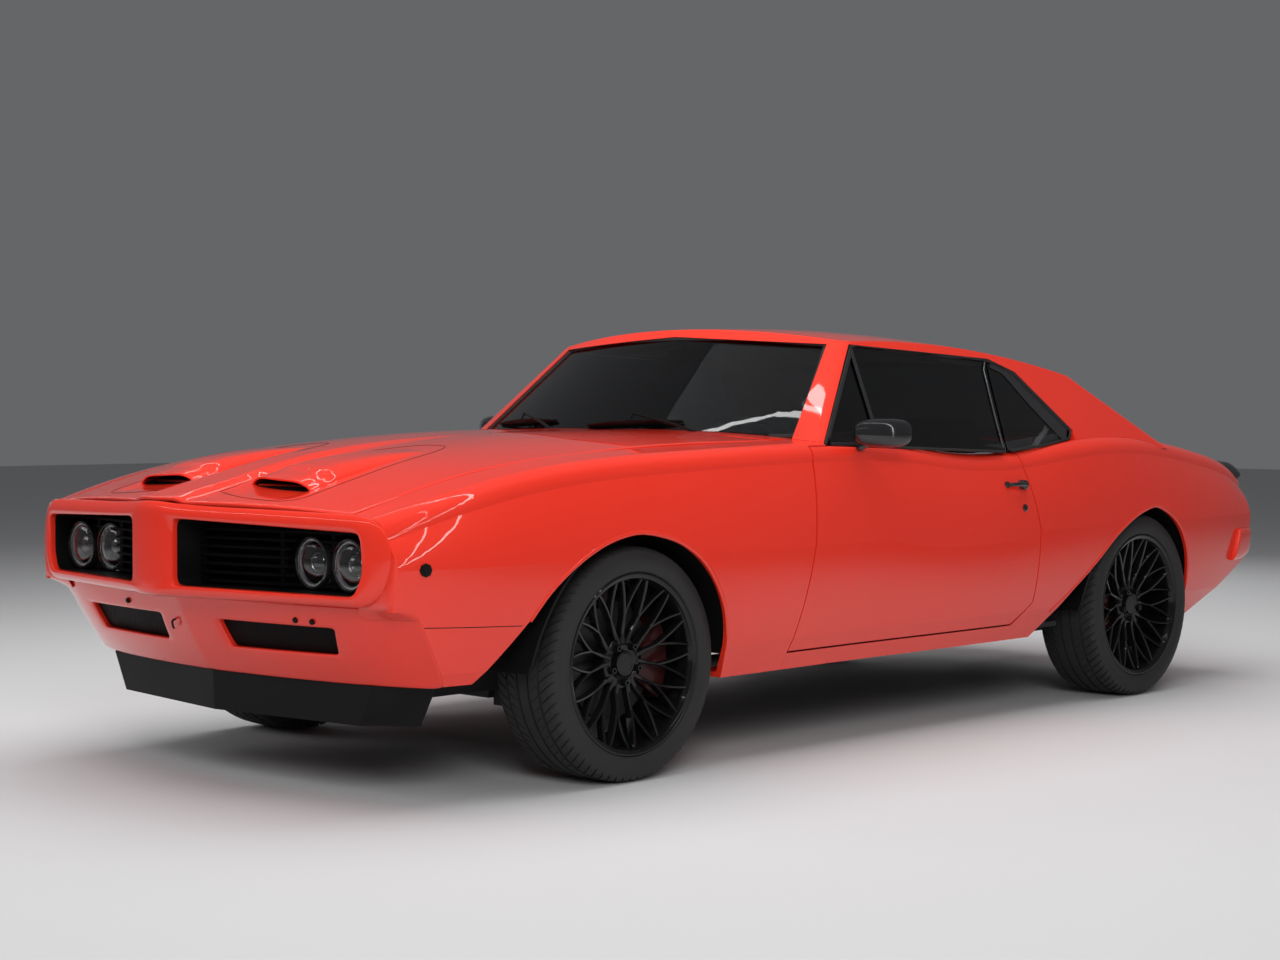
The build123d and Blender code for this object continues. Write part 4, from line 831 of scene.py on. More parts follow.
# tyres: four grooves round the tread and slanted cuts across its shoulders, plain side walls
tyreForm = {"pitches": 70, "cut": 0.0050, "slant": 2.2,
            "shares": (0.0, 0.80, 0.825, 0.975)}  # block start, block end, cut start, cut end
# half section from the bead out and round to the middle: place across, radius, cut depth share
tyreHalf = [(0.1120, 0.2664, 0), (0.1165, 0.2690, 0), (0.1195, 0.2745, 0), (0.1200, 0.2800, 0), (0.1218, 0.2830, 0),
            (0.1230, 0.2920, 0), (0.1227, 0.3010, 0), (0.1214, 0.3110, 0), (0.1206, 0.3125, 0), (0.1188, 0.3200, 0),
            (0.1160, 0.3268, 0.3), (0.1120, 0.3320, 0.8), (0.1060, 0.3362, 1), (0.0990, 0.3388, 1), (0.0900, 0.3404, 1),
            (0.0680, 0.3418, 1), (0.0675, 0.3360, 0), (0.0585, 0.3360, 0), (0.0580, 0.3422, 0.6), (0.0420, 0.3426, 0.6),
            (0.0260, 0.3429, 0), (0.0255, 0.3365, 0), (0.0165, 0.3365, 0), (0.0160, 0.3430, 0)]
axles = {"front": (0.752, -1.335), "rear": (0.769, 1.411), "height": 0.343}


def makeTyre():
    section = tyreHalf + [(-x, r, cut) for x, r, cut in reversed(tyreHalf)]
    rows = []
    for pitch in range(tyreForm["pitches"]):
        for share, low in zip(tyreForm["shares"], (0, 0, 1, 1)):
            row = []
            for x, r, cut in section:
                angle = 2 * math.pi * (pitch + share) / tyreForm["pitches"] + tyreForm["slant"] * abs(x)
                radius = r - tyreForm["cut"] * cut * low
                row.append((x, radius * math.sin(angle), radius * math.cos(angle)))
            rows.append(row)
    rows.append(rows[0])
    return skin("tyreTread", rows, loop=True)


# fittings on each wheel: centre cap, five nuts and a valve, out from the wheel's middle
wheelFit = {
    "hub": 0.066, "nuts": 5, "nutRing": 0.056, "valve": (0.075, 0, -0.236),
    "capRings": [(0.037, -0.004), (0.037, 0.006), (0.0355, 0.0085), (0.030, 0.0088), (0.0285, 0.0075), (0, 0.0075)],
    "nutRings": [(0.0115, -0.006), (0.0115, 0.014), (0.0095, 0.017), (0.0055, 0.017), (0.0050, 0.011), (0, 0.011)],
    "valveRings": [(0.0042, 0), (0.0042, 0.020), (0.0050, 0.021), (0.0050, 0.031), (0, 0.032)],
}


def makeWheelFit():
    middle = (wheelFit["hub"], 0, 0)
    pieces = [lathe("cap", wheelFit["capRings"], middle, toLeft, 40)]
    nut = lathe("nut", wheelFit["nutRings"], middle, toLeft, 6)
    for i in range(wheelFit["nuts"]):
        angle = 2 * math.pi * (i + 0.5) / wheelFit["nuts"]
        place = (0, wheelFit["nutRing"] * math.sin(angle), wheelFit["nutRing"] * math.cos(angle))
        pieces.append(copied(nut, f"nut{i}", Matrix.Translation(place)))
    bpy.data.objects.remove(nut)
    pieces.append(lathe("stem", wheelFit["valveRings"], wheelFit["valve"], toLeft, 12))
    return joined("wheelFit", pieces)


# wheel: a stepped lip on a barrel, a hub, and fifteen stems in five groups, each forked into a pair of branches
wheelForm = {
    "rim": [(0.1000, 0.2440), (0.1050, 0.2475), (0.1100, 0.2495), (0.1125, 0.2530), (0.1132, 0.2575), (0.1150, 0.2600),
            (0.1150, 0.2630), (0.1135, 0.2655), (0.1095, 0.2662), (0.1040, 0.2645), (0.1020, 0.2560), (0.0900, 0.2520),
            (0.0, 0.2500), (-0.0900, 0.2520), (-0.1020, 0.2560), (-0.1040, 0.2645), (-0.1095, 0.2662),
            (-0.1150, 0.2640), (-0.1150, 0.2560), (-0.1050, 0.2480), (-0.0900, 0.2430), (0.0, 0.2400),
            (0.0850, 0.2400)],
    "hub": [(0.0362, 0.030), (0.0362, 0.076), (0.0500, 0.078), (0.0590, 0.0745), (0.0640, 0.067), (0.0650, 0.052),
            (0.0620, 0.046), (0.0610, 0.030)],
    "roots": 5, "face": [(0.055, 0.0660), (0.090, 0.0655), (0.150, 0.0750), (0.200, 0.0890), (0.247, 0.1030)],
    # from the hub out: a stem's radius and share of the step, a branch's radius and degrees from its stem
    "step": 24.0, "stem": [(0.058, 0.66), (0.080, 0.78), (0.110, 0.92), (0.142, 1.0)],
    "branch": [(0.142, 0.0), (0.168, 2.4), (0.205, 5.6), (0.247, 9.2)],
    "blade": [(-0.0026, 0.0), (0.0026, 0.0), (0.0044, -0.003), (0.0044, -0.016), (0.0024, -0.027), (-0.0024, -0.027),
              (-0.0044, -0.016), (-0.0044, -0.003)],
    "rootGrow": 0.7, "rootFade": (0.06, 0.14),
}


def turnedRing(name, section, count):
    # a closed section of (out, radius) carried round the axle
    rows = []
    for k in range(count + 1):
        a = 2 * math.pi * k / count
        rows.append([(x, r * math.sin(a), r * math.cos(a)) for x, r in section])
    return skin(name, rows, loop=True)


def spoke(arm):
    # one blade, its section across the arm and back from the wheel's face
    places = smoothPath([(r, math.radians(d)) for r, d in arm], 5)
    flat = [Vector((r * math.sin(a), r * math.cos(a))) for r, a in places]
    rows = []
    for i, (r, _) in enumerate(places):
        ahead = (flat[min(i + 1, len(flat) - 1)] - flat[max(i - 1, 0)]).normalized()
        grow = 1 + wheelForm["rootGrow"] * (1 - ease(r, *wheelForm["rootFade"]))
        across = Vector((-ahead.y, ahead.x)) * grow
        out = reading(wheelForm["face"], r)
        rows.append([(out + deep, *(flat[i] + across * wide)) for wide, deep in wheelForm["blade"]])
    return skin("spoke", rows, loop=True, caps=True)


def makeWheel():
    pieces = [turnedRing("rim", wheelForm["rim"], 96), turnedRing("hub", wheelForm["hub"], 60)]
    roots = wheelForm["roots"]
    for member in (-1, 0, 1):
        middle = member * wheelForm["step"]
        arms = [[(r, middle * share) for r, share in wheelForm["stem"]]]
        arms += [[(r, middle + side * away) for r, away in wheelForm["branch"]] for side in (1, -1)]
        for arm in arms:
            one = spoke(arm)
            for i in range(roots):
                pieces.append(copied(one, "spoke", Matrix.Rotation(2 * math.pi * i / roots, 4, "X")))
            bpy.data.objects.remove(one)
    return joined("wheelFace", pieces)


def makeWheels():
    tyre, fit, wheel = makeTyre(), makeWheelFit(), makeWheel()
    for end in ("front", "rear"):
        x, y = axles[end]
        for side, word in ((1, "left"), (-1, "right")):
            corner, stem = f"{end}_{word}", end.title() + word.title()
            body = "wheel_" + corner
            move = Matrix.Translation((side * x, y, axles["height"])) @ Matrix.Scale(side, 4, (1, 0, 0))
            settle(copied(tyre, "tyre" + stem, move), body, "tyre", hides=["tyre_" + corner], angle=32)
            settle(copied(fit, "wheelFit" + stem, move), body, "wheel_finish", angle=35)
            settle(copied(wheel, "wheelFace" + stem, move), body, "wheel_finish", hides=[body], angle=30)
    for model in (tyre, fit, wheel):
        bpy.data.objects.remove(model)


makeWheels()
print("tyres and wheels made")

# side glass: posts and rubber on the leaning plane of the cabin's side
sideGlass = {
    "belt": 0.836, "beltHeight": 0.962, "lean": 0.49, "inset": 0.006,
    "opening": [(-0.420, 0.966), (-0.250, 1.133), (-0.092, 1.286), (-0.060, 1.294), (0.300, 1.279), (0.660, 1.257),
                (0.740, 1.240), (0.806, 1.212), (0.910, 1.118), (1.026, 1.006), (1.024, 0.994), (0.996, 0.972),
                (0.800, 0.948), (0.600, 0.934)],
    "ventPost": [(-0.100, 1.276), (-0.124, 1.080), (-0.141, 0.955)],
    "ventFoot": [(-0.395, 0.968), (-0.260, 0.964), (-0.145, 0.960)],
    "ventFront": [(-0.393, 0.985), (-0.238, 1.137), (-0.096, 1.276)],
    "glassEnd": [(0.655, 1.246), (0.631, 1.219), (0.590, 1.070), (0.560, 0.945)],
    "sill": [(-0.140, 0.9565), (0.150, 0.9455), (0.400, 0.9365), (0.556, 0.931)],
    "border": [(0.690, 1.243), (0.760, 1.230), (0.806, 1.208), (0.860, 1.158), (0.930, 1.092), (1.016, 1.008)],
    "borderWide": [0.020, 0.030, 0.050, 0.062, 0.068, 0.070], "borderWay": (-0.66, -0.75), "borderThick": 0.002,
    # how far proud of the glass line each strip stands, its half width and flatness
    "strips": {"sideRubber": (0.0, 0.0065, 0.8), "quarterRubber": (0.002, 0.005, 0.8),
               "ventPost": (0.002, 0.0085, 0.55), "ventFoot": (0.003, 0.006, 0.6), "ventFront": (0.002, 0.006, 0.6),
               "glassEnd": (0.0005, 0.0035, 0.8), "beltStrip": (0.006, 0.0045, 1.0)},
}


def onSide(y, z, proud=0.0):
    # a place on the cabin's side, set in to the glass line
    x = sideGlass["belt"] - sideGlass["lean"] * (z - sideGlass["beltHeight"])
    return (x - sideGlass["inset"] + proud, y, z)


def makeSideTrim():
    def strip(name, line):
        proud, half, flat = sideGlass["strips"][name]
        return rod(name, [onSide(y, z, proud) for y, z in line], half, 8, flat, upright=(1, 0, 0))
    opening, border, thick = sideGlass["opening"], sideGlass["border"], sideGlass["borderThick"]
    rubber = [strip("sideRubber", opening[:10]), strip("quarterRubber", opening[9:])]
    settlePair(joined("sideRubber", rubber), onBody, "black_trim", look=rubberLook)
    vent = [strip(name, sideGlass[name]) for name in ("ventPost", "ventFoot", "ventFront")]
    settlePair(joined("ventFrame", vent), onDoors, "black_trim", look=satinLook)
    settlePair(strip("glassEnd", sideGlass["glassEnd"]), onDoors, "bare_steel")
    settlePair(strip("beltStrip", sideGlass["sill"]), onDoors, "black_trim", look=rubberLook)
    across, up = sideGlass["borderWay"]
    inner = [(y + across * w, z + up * w) for (y, z), w in zip(border, sideGlass["borderWide"])]
    band = skin("quarterBorder", [[onSide(y, z, -thick) for y, z in line] for line in (border, inner)])
    shape(band, walled(thick, 0))
    settlePair(band, onBody, "black_trim", look=satinLook)


rubberLook = finish("sealRubber", rubberBuild)
satinLook = finish("satinFrame", plasticBuild((0.014, 0.014, 0.015), 0.34, 0.00008, 300))
makeSideTrim()

# windshield and back glass: a black rubber round each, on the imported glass
screens = {
    "windshield": {"way": 1, "edge": [
        (0, 0.990), (0.45, 0.990), (0.722, 0.992), (0.728, 1.000), (0.604, 1.288), (0.590, 1.294), (0.3, 1.316),
        (0, 1.322)]},
    "rear_window": {"way": -1, "edge": [
        (0, 0.978), (0.35, 0.977), (0.596, 0.973), (0.602, 0.980), (0.494, 1.222), (0.484, 1.230), (0.25, 1.250),
        (0, 1.256)]},
}
screenForm = {"half": 0.009, "flat": 0.7, "lift": 0.6, "steps": 5}


def makeScreenRubbers():
    steps = screenForm["steps"]
    for node, form in screens.items():
        cast, way = caster(node), form["way"]
        edge = []
        for a, b in zip(form["edge"], form["edge"][1:]):
            edge += [between(a, b, k / steps) for k in range(steps)]
        whole = edge + [form["edge"][-1]] + [(-x, z) for x, z in reversed(edge)]
        path = []
        for x, z in whole[:-1]:
            hit = cast((x, -farOut["end"] * way, z), (0, way, 0))
            if hit:
                path.append((x, hit.y, z))
        rubber = rod(node + "Rubber", path, screenForm["half"], 8, screenForm["flat"],
                     loop=True, upright=(0, -way, screenForm["lift"]))
        settle(rubber, "body", "black_trim", look=rubberLook)


makeScreenRubbers()

# wipers, both parked to the right
# pivot, elbow at the end of the arm, blade from end to end (x, height on the glass)
wipers = {
    "wiperLeft": {"pivot": (0.485, -0.598, 0.982), "arm": (0.130, 1.050),
                  "blade": ((-0.060, 1.020), (0.330, 1.034))},
    "wiperRight": {"pivot": (-0.160, -0.660, 0.994), "arm": (-0.470, 1.048),
                   "blade": ((-0.640, 1.020), (-0.250, 1.034))},
}
wiperForm = {
    "armHalf": [0.0085] * 4 + [0.0065] * 4 + [0.005] * 3, "armProud": 0.022,
    "bend": 0.35, "bendBy": (0, -0.006, 0.012), "bladeHalf": 0.0042, "bowHalf": 0.0036, "hookHalf": 0.0045,
    "boss": [(0.013, -0.020), (0.015, 0.004), (0.0135, 0.012), (0.008, 0.015), (0, 0.0155)],
    "bladeProud": 0.006, "bowEnds": (0.08, 0.92), "bowProud": [0.010, 0.015, 0.018, 0.020, 0.018, 0.015, 0.010],
    "upright": (0, -0.8, 0.6),
}


def makeWipers():
    cast, upright, proud = caster("windshield"), wiperForm["upright"], wiperForm["armProud"]

    def onGlass(x, z, out):
        hit = cast((x, -farOut["end"], z), (0, 1, 0))
        return (x, hit.y - out, z + out * screenForm["lift"])
    for name, form in wipers.items():
        ends = form["blade"]
        pivot, elbow = Vector(form["pivot"]), Vector(onGlass(*form["arm"], proud))
        middle = pivot.lerp(elbow, wiperForm["bend"]) + Vector(wiperForm["bendBy"])
        line = smoothPath([tuple(pivot), tuple(middle), tuple(elbow)], 5)
        arm = rod("arm", line, wiperForm["armHalf"], 8, 0.7)
        boss = lathe("boss", wiperForm["boss"], pivot, None, 20)
        line = [onGlass(*between(*ends, share), wiperForm["bladeProud"]) for share in spread(0, 1, 8)]
        blade = rod("blade", line, wiperForm["bladeHalf"], 6, 1.6, upright=upright)
        shares = spread(*wiperForm["bowEnds"], 6)
        line = [onGlass(*between(*ends, share), out) for share, out in zip(shares, wiperForm["bowProud"])]
        bow = rod("bow", line, wiperForm["bowHalf"], 6, 1.2, upright=upright)
        hook = rod("hook", [tuple(elbow), onGlass(*between(*ends, 0.5), proud)], wiperForm["hookHalf"], 6)
        settle(joined(name, [arm, boss, blade, bow, hook]), "body", "black_trim")


makeWipers()
print("glass trim and wipers made")

# door mirror: a rounded shell on a foot with its glass set in, and the pull handle with its lock
mirror = {
    "middle": (0.926, 1.003), "wide": 0.0685, "high": 0.047, "power": 3.0, "sweep": 0.72, "taper": 0.012,
    "rows": [(-0.312, 0.10, 0.10), (-0.3095, 0.36, 0.34), (-0.302, 0.60, 0.58), (-0.287, 0.80, 0.80),
             (-0.265, 0.94, 0.95), (-0.243, 1.0, 1.0), (-0.231, 0.985, 0.985), (-0.2285, 0.94, 0.93),
             (-0.2315, 0.90, 0.88)],
    "foot": [(0.846, -0.275, 0.950), (0.861, -0.271, 0.959), (0.880, -0.266, 0.967), (0.898, -0.260, 0.980)],
    "footHalf": [0.024, 0.020, 0.016, 0.015],
    "pane": [(-0.2308, 0.875, 0.86), (-0.2300, 0.86, 0.84), (-0.2298, 0.5, 0.5)],
}
handle = {
    "bar": [(0.884, 0.523, 0.8165), (0.899, 0.529, 0.8175), (0.9075, 0.545, 0.818), (0.9095, 0.573, 0.8175),
            (0.9075, 0.600, 0.8165)],
    "barHalf": 0.0070,
    # what stands on the door's skin: name, place (y, z), sides, rings
    "studs": [
        ("handleBoss", (0.608, 0.815), 28,
         [(0.0175, -0.006), (0.0175, 0.016), (0.0155, 0.021), (0.0110, 0.0225), (0.0105, 0.0255), (0.0085, 0.0270),
          (0, 0.0272)]),
        ("handlePad", (0.525, 0.8165), 20, [(0.0120, -0.006), (0.0120, 0.004), (0.0095, 0.0065), (0, 0.007)]),
        ("doorLock", (0.606, 0.734), 24,
         [(0.0135, -0.006), (0.0135, 0.0025), (0.0115, 0.0042), (0.0075, 0.0044), (0.0068, 0.0030), (0, 0.0030)]),
    ],
}


def oval(y, wide, high, taper=0.0):
    # one rounded-box loop of the mirror across the car, by shares of its size
    x, z = mirror["middle"][0] - taper * (1 - wide), mirror["middle"][1]
    ring = []
    for c, s in squared(32, mirror["power"]):
        across = mirror["wide"] * wide * c
        ring.append((x + across, y + mirror["sweep"] * across, z + mirror["high"] * high * s))
    return ring


def makeDoorFittings():
    shell = skin("mirrorShell", [oval(*row, mirror["taper"]) for row in mirror["rows"]], loop=True, caps=True)
    foot = rod("mirrorFoot", mirror["foot"], mirror["footHalf"], 14, 0.6)
    shape(foot, rounded(1))
    bar = rod("pullBar", smoothPath(handle["bar"], 4), handle["barHalf"], 12, 0.75, upright=(1, 0, 0))
    pieces = [shell, foot, bar]
    onDoor = sideOf("door_left")
    for name, (y, z), count, rings in handle["studs"]:
        pieces.append(lathe(name, rings, (onDoor(y, z), y, z), toLeft, count))
    hides = (["door_fittings_left"], ["door_fittings_right"])
    settlePair(joined("doorFittings", pieces), onDoors, "gloss_black", hides=hides)
    pane = skin("mirrorPane", [oval(*row) for row in mirror["pane"]], loop=True, caps=True)
    settlePair(pane, onDoors, "bare_steel", look=silverLook)


silverLook = finish("mirrorSilver", metalBuild((0.80, 0.81, 0.82), 0.10, 0.00002, 80), Metallic=1.0)
makeDoorFittings()

# arch lips: a rolled edge round each wheel opening, on a packed panel; arcs in side view
archLips = {
    "frontLip": ("fender_left", [
        (-1.765, 0.498), (-1.700, 0.572), (-1.615, 0.636), (-1.520, 0.684), (-1.430, 0.712), (-1.335, 0.722),
        (-1.220, 0.700), (-1.140, 0.664), (-1.077, 0.615), (-1.020, 0.540), (-0.985, 0.470), (-0.965, 0.400)]),
    "rearLip": ("quarter_left", [
        (0.800, 0.360), (0.900, 0.418), (0.990, 0.476), (1.081, 0.540), (1.180, 0.612), (1.281, 0.664), (1.375, 0.698),
        (1.471, 0.712), (1.560, 0.686), (1.630, 0.645), (1.686, 0.590), (1.735, 0.505), (1.763, 0.400)]),
}
# height of the arc's middle, how far past the arc the panel is read and the lip stands, how far in, half width
lipForm = {"middle": 0.36, "read": 0.010, "stand": 0.004, "sink": 0.0035, "half": 0.0075}


def makeArchLips():
    for stem, (node, line) in archLips.items():
        out = sideOf(node)
        middle = Vector((sum(y for y, _ in line) / len(line), lipForm["middle"]))
        path = []
        for y, z in smoothPath(line, 4):
            away = (Vector((y, z)) - middle).normalized()
            x = out(y + away.x * lipForm["read"], z + away.y * lipForm["read"])
            if x is not None:
                path.append((x - lipForm["sink"], y + away.x * lipForm["stand"], z + away.y * lipForm["stand"]))
        lip = rod(stem, path, lipForm["half"], 10, 0.8, upright=(1, 0, 0))
        settlePair(lip, onBody, "paint", angle=60)


makeArchLips()

# small things on the nose and sides: marker lamps, valance bolts and hook, panel seams, air dam stays
noseSmall = {
    "marker": (-2.127, 0.656), "markerTurn": -9, "bolts": [(0.461, 0.5065), (0.522, 0.5050), (-0.300, 0.515)],
    "markerRings": [(0.0185, -0.008), (0.0185, 0.004), (0.0165, 0.0065), (0.0125, 0.007), (0.0115, 0.0095),
                    (0, 0.0105)],
    "boltRings": [(0.0085, 0.004), (0.0085, -0.003), (0.0065, -0.006), (0, -0.006)],
    "hook": [(0, 0, 0.476), (0, -0.012, 0.471), (-0.003, -0.015, 0.456), (-0.009, -0.010, 0.449)],
    "hookX": -0.059, "hookHalf": 0.0030,
    "seam": [(-2.120, 0.502), (-2.000, 0.4965), (-1.772, 0.487)], "seamHalf": 0.0014, "sink": 0.0004,
    "insert": [(0.118, -2.245), (0.275, -2.272), (0.432, -2.238), (0.446, -2.10), (0.430, -1.90), (0.390, -1.70),
               (0.330, -1.59), (0.270, -1.57), (0.210, -1.60), (0.160, -1.72), (0.122, -1.92), (0.110, -2.10)],
    "insertHalf": 0.0013,
    "stays": [[(0.66, -2.020, 0.250), (0.70, -1.975, 0.312)], [(0.60, -2.050, 0.250), (0.62, -1.990, 0.330)]],
    "stayHalf": 0.0045,
}


def makeNoseSmall():
    onFender, sink = sideOf("fender_left"), noseSmall["sink"]
    y, z = noseSmall["marker"]
    lean = Matrix.Rotation(math.radians(noseSmall["markerTurn"]), 4, "Z")
    marker = lathe("sideMarker", noseSmall["markerRings"], (onFender(y, z), y, z), lean @ toLeft, 8)
    settlePair(marker, onBody, "black_trim", angle=25)
    bolts = [lathe("bolt", noseSmall["boltRings"], (x, valanceFace(abs(x), z), z), toRear, 6)
             for x, z in noseSmall["bolts"]]
    settle(joined("valanceBolts", bolts), "body", "black_trim", angle=25)
    x = noseSmall["hookX"]
    bent = smoothPath([(x + dx, valanceFace(abs(x), z) + dy, z) for dx, dy, z in noseSmall["hook"]], 5)
    settle(rod("valanceHook", bent, noseSmall["hookHalf"], 8, upright=(1, 0, 0)), "body", "black_trim")
    path = [(onFender(y, z), y, z) for y, z in smoothPath(noseSmall["seam"], 6)]
    path = [(x - sink, y, z) for x, y, z in path if x is not None]
    seam = rod("fenderSeam", path, noseSmall["seamHalf"], 6, upright=(1, 0, 0))
    settlePair(seam, onBody, "black_trim")
    loop = smoothPath(noseSmall["insert"] + noseSmall["insert"][:1], 5)[:-1]
    path = [(x, y, hoodHeight(x, y) - sink) for x, y in loop]
    settlePair(rod("scoopSeam", path, noseSmall["insertHalf"], 6, loop=True), onHood, "black_trim")
    # between the air dam's ends and the body
    stays = [rod("stay", line, noseSmall["stayHalf"], 8) for line in noseSmall["stays"]]
    settlePair(joined("damStay", stays), onBody, "black_trim")


makeNoseSmall()
print("mirrors, handles, lips and small fittings made")

# tail: bumper blade, lamps in bezels, lower panel, lip spoiler and pipe tips
tail = {
    "face": [(0, 2.415), (0.40, 2.4125), (0.60, 2.409), (0.72, 2.3985), (0.77, 2.3885), (0.795, 2.377),
             (0.806, 2.366)],
    "back": 2.3514, "low": 0.505, "high": 0.594, "power": 3.4,
    "straight": 0.70, "ends": [0.74, 0.775, 0.792, 0.802, 0.806], "endShut": 0.55, "endFade": (0.770, 0.812),
    "panel": [(0.4798, 2.3485), (0.460, 2.3440), (0.430, 2.3250), (0.400, 2.2950), (0.380, 2.2660), (0.373, 2.2550)],
    "panelWide": 0.690, "panelBow": 0.030, "panelRise": 0.45, "panelThick": 0.005,
    "lip": [(2.274, 0.858), (2.318, 0.862), (2.350, 0.878), (2.378, 0.897), (2.391, 0.896), (2.393, 0.886),
            (2.376, 0.848), (2.3635, 0.812), (2.350, 0.815), (2.310, 0.838)],
    "lipWide": 0.604, "lipFall": 0.62, "lipFallFrom": 0.47, "lipMiddle": (2.33, 0.835), "lipEdge": 0.004,
    "pipe": (0.330, 2.371, 0.225),
    "pipeRings": [(0.0304, -0.100), (0.0345, -0.094), (0.0365, -0.060), (0.0375, 0.010), (0.0365, 0.0135),
                  (0.0345, 0.0120), (0.0338, 0.001)],
    # the disc in each pipe's mouth: soot, and painted shade that stands for the pipe's dark hollow
    "sootAndShadeRings": [(0.0342, 0.0022), (0.020, 0.0010), (0, 0.0008)],
    # the bumper's ends round the corners, in plan, then their height, thickness and slant
    "wrap": [(0.720, 2.3950), (0.775, 2.3870), (0.813, 2.3745), (0.838, 2.3500), (0.851, 2.3130), (0.860, 2.2720),
             (0.867, 2.2300), (0.869, 2.2150)],
    "wrapZ": (0.472, 0.598), "wrapThick": 0.036, "wrapSlant": 0.45, "wrapTurn": (0.2, 0.7), "wrapShut": 0.86,
    # the spoiler's ends: place along the car and height over the quarter's top there
    "cap": [(2.322, 0.004), (2.338, 0.016), (2.356, 0.0255), (2.380, 0.031), (2.391, 0.030), (2.393, 0.020),
            (2.378, -0.010), (2.3635, -0.026), (2.350, -0.012), (2.330, -0.006)],
    "capTop": [(0.600, 0.842), (0.660, 0.836), (0.700, 0.831), (0.740, 0.823), (0.755, 0.813), (0.768, 0.798)],
    "capX": (0.613, 0.766), "capFall": 0.55, "capFallFrom": 0.70, "capMiddle": 2.345, "capKeep": 0.75,
    "capEdge": 0.003, "edgeLimit": 0.7,
}
tailLamp = {
    "x": (0.190, 0.690), "z": (0.650, 0.712), "back": 2.3512, "proud": 0.0125, "gap": 0.004, "lensOut": 0.006,
    "rib": 0.0105, "flute": 0.0012, "band": 0.004, "thick": 0.004,
    "grow": 0.006, "round": 0.010, "rim": 0.003, "crest": 0.0025,
    "barOut": 0.007, "barGap": 0.002, "barHalf": 0.0035,
}


def makeTailEnds():
    path = [Vector(place) for place in smoothPath(tail["wrap"], 3)]
    last = len(path) - 1
    rows = []
    for i, place in enumerate(path):
        ahead = path[min(i + 1, last)] - path[max(i - 1, 0)]
        away = Vector((-ahead.y, ahead.x)).normalized()
        turned = ease(i / last, *tail["wrapTurn"])  # how far round the corner
        low = tail["low"] + (tail["wrapZ"][0] - tail["low"]) * turned
        high = tail["high"] + (tail["wrapZ"][1] - tail["high"]) * turned
        shut = tail["wrapShut"] if i == last else 1
        ring = []
        for c, s in squared(24, tail["power"]):
            spot = place + away * tail["wrapThick"] / 2 * (shut * c - 1)
            z = (low + high) / 2 + (high - low) / 2 * shut * s
            ring.append((spot.x, spot.y + tail["wrapSlant"] * turned * (z - high), z))
        rows.append(ring)
    settlePair(skin("bumperEnd", rows, loop=True, caps=True), onBody, "paint", angle=50)
    middle, keep = tail["capMiddle"], tail["capKeep"]
    rows = []
    for x in spread(*tail["capX"], 14):
        top = reading(tail["capTop"], x)
        share = 1 - tail["capFall"] * ease(x, tail["capFallFrom"], tail["capX"][1])
        deep = keep + (1 - keep) * share
        rows.append([(x, middle + (y - middle) * deep, top + z * share) for y, z in tail["cap"]])
    cap = skin("spoilerEnd", rows, loop=True, caps=True)
    shape(cap, softEdge(tail["capEdge"], tail["edgeLimit"]))
    settlePair(cap, onBody, "gloss_black", angle=45)


def makeRearBumper():
    back, straight = tail["back"], tail["straight"]
    rows = []
    for x in [-x for x in reversed(tail["ends"])] + spread(-straight, straight, 20) + tail["ends"]:
        deep = (reading(tail["face"], abs(x)) - back) / 2
        shut = 1 - ease(abs(x), *tail["endFade"]) * tail["endShut"]
        middle, high = (tail["low"] + tail["high"]) / 2, (tail["high"] - tail["low"]) / 2 * shut
        rows.append([(x, back + deep + deep * c, middle + high * s) for c, s in squared(24, tail["power"])])
    settle(skin("rearBumper", rows, loop=True, caps=True), "body", "paint", hides=["rear_bumper"], angle=50)


def makeTailLamps():
    (low, high), (foot, top) = tailLamp["x"], tailLamp["z"]
    gap, back, proud = tailLamp["gap"], tailLamp["back"], tailLamp["proud"]
    count = int((high - low) / tailLamp["rib"] * 4)
    rows = []
    for j, z in enumerate(spread(foot + gap, top - gap, 8)):
        # two bowed bands, one over the other
        band = tailLamp["band"] * abs(math.sin(math.pi * 2 * j / 8)) ** 0.6
        row = []
        for x in spread(low + gap, high - gap, count):
            flute = tailLamp["flute"] * abs(math.sin(math.pi * (x - low) / tailLamp["rib"]))
            row.append((x, back + tailLamp["lensOut"] + band + flute, z))
        rows.append(row)
    lens = skin("tailLens", rows)
    shape(lens, walled(tailLamp["thick"]))
    settlePair(lens, onBody, "tail_lens", hides=(["tail_lamps"], ["tail_lamps"]), angle=60)
    r, rim = tailLamp["round"], tailLamp["rim"]
    rings = []
    for inset, out in ((0, 0), (0, proud), (rim, proud + tailLamp["crest"]), (2 * rim, proud), (2 * rim, 0)):
        move = tailLamp["grow"] - r - inset
        ring = []
        for x, z, sx, sz, start in ((high, top, 1, 1, 0), (low, top, -1, 1, 90), (low, foot, -1, -1, 180),
                                    (high, foot, 1, -1, 270)):
            for a in spread(math.radians(start), math.radians(start + 90), 4):
                ring.append((x + sx * move + r * math.cos(a), back + out, z + sz * move + r * math.sin(a)))
        rings.append(ring)
    bezel = skin("tailBezel", rings, loop=True)
    line = [(x, back + tailLamp["barOut"], (foot + top) / 2)
            for x in (low + tailLamp["barGap"], high - tailLamp["barGap"])]
    bar = rod("tailBar", line, tailLamp["barHalf"], 8, 1.4, upright=(0, 1, 0))
    settlePair(joined("tailBezel", [bezel, bar]), onBody, "gloss_black")


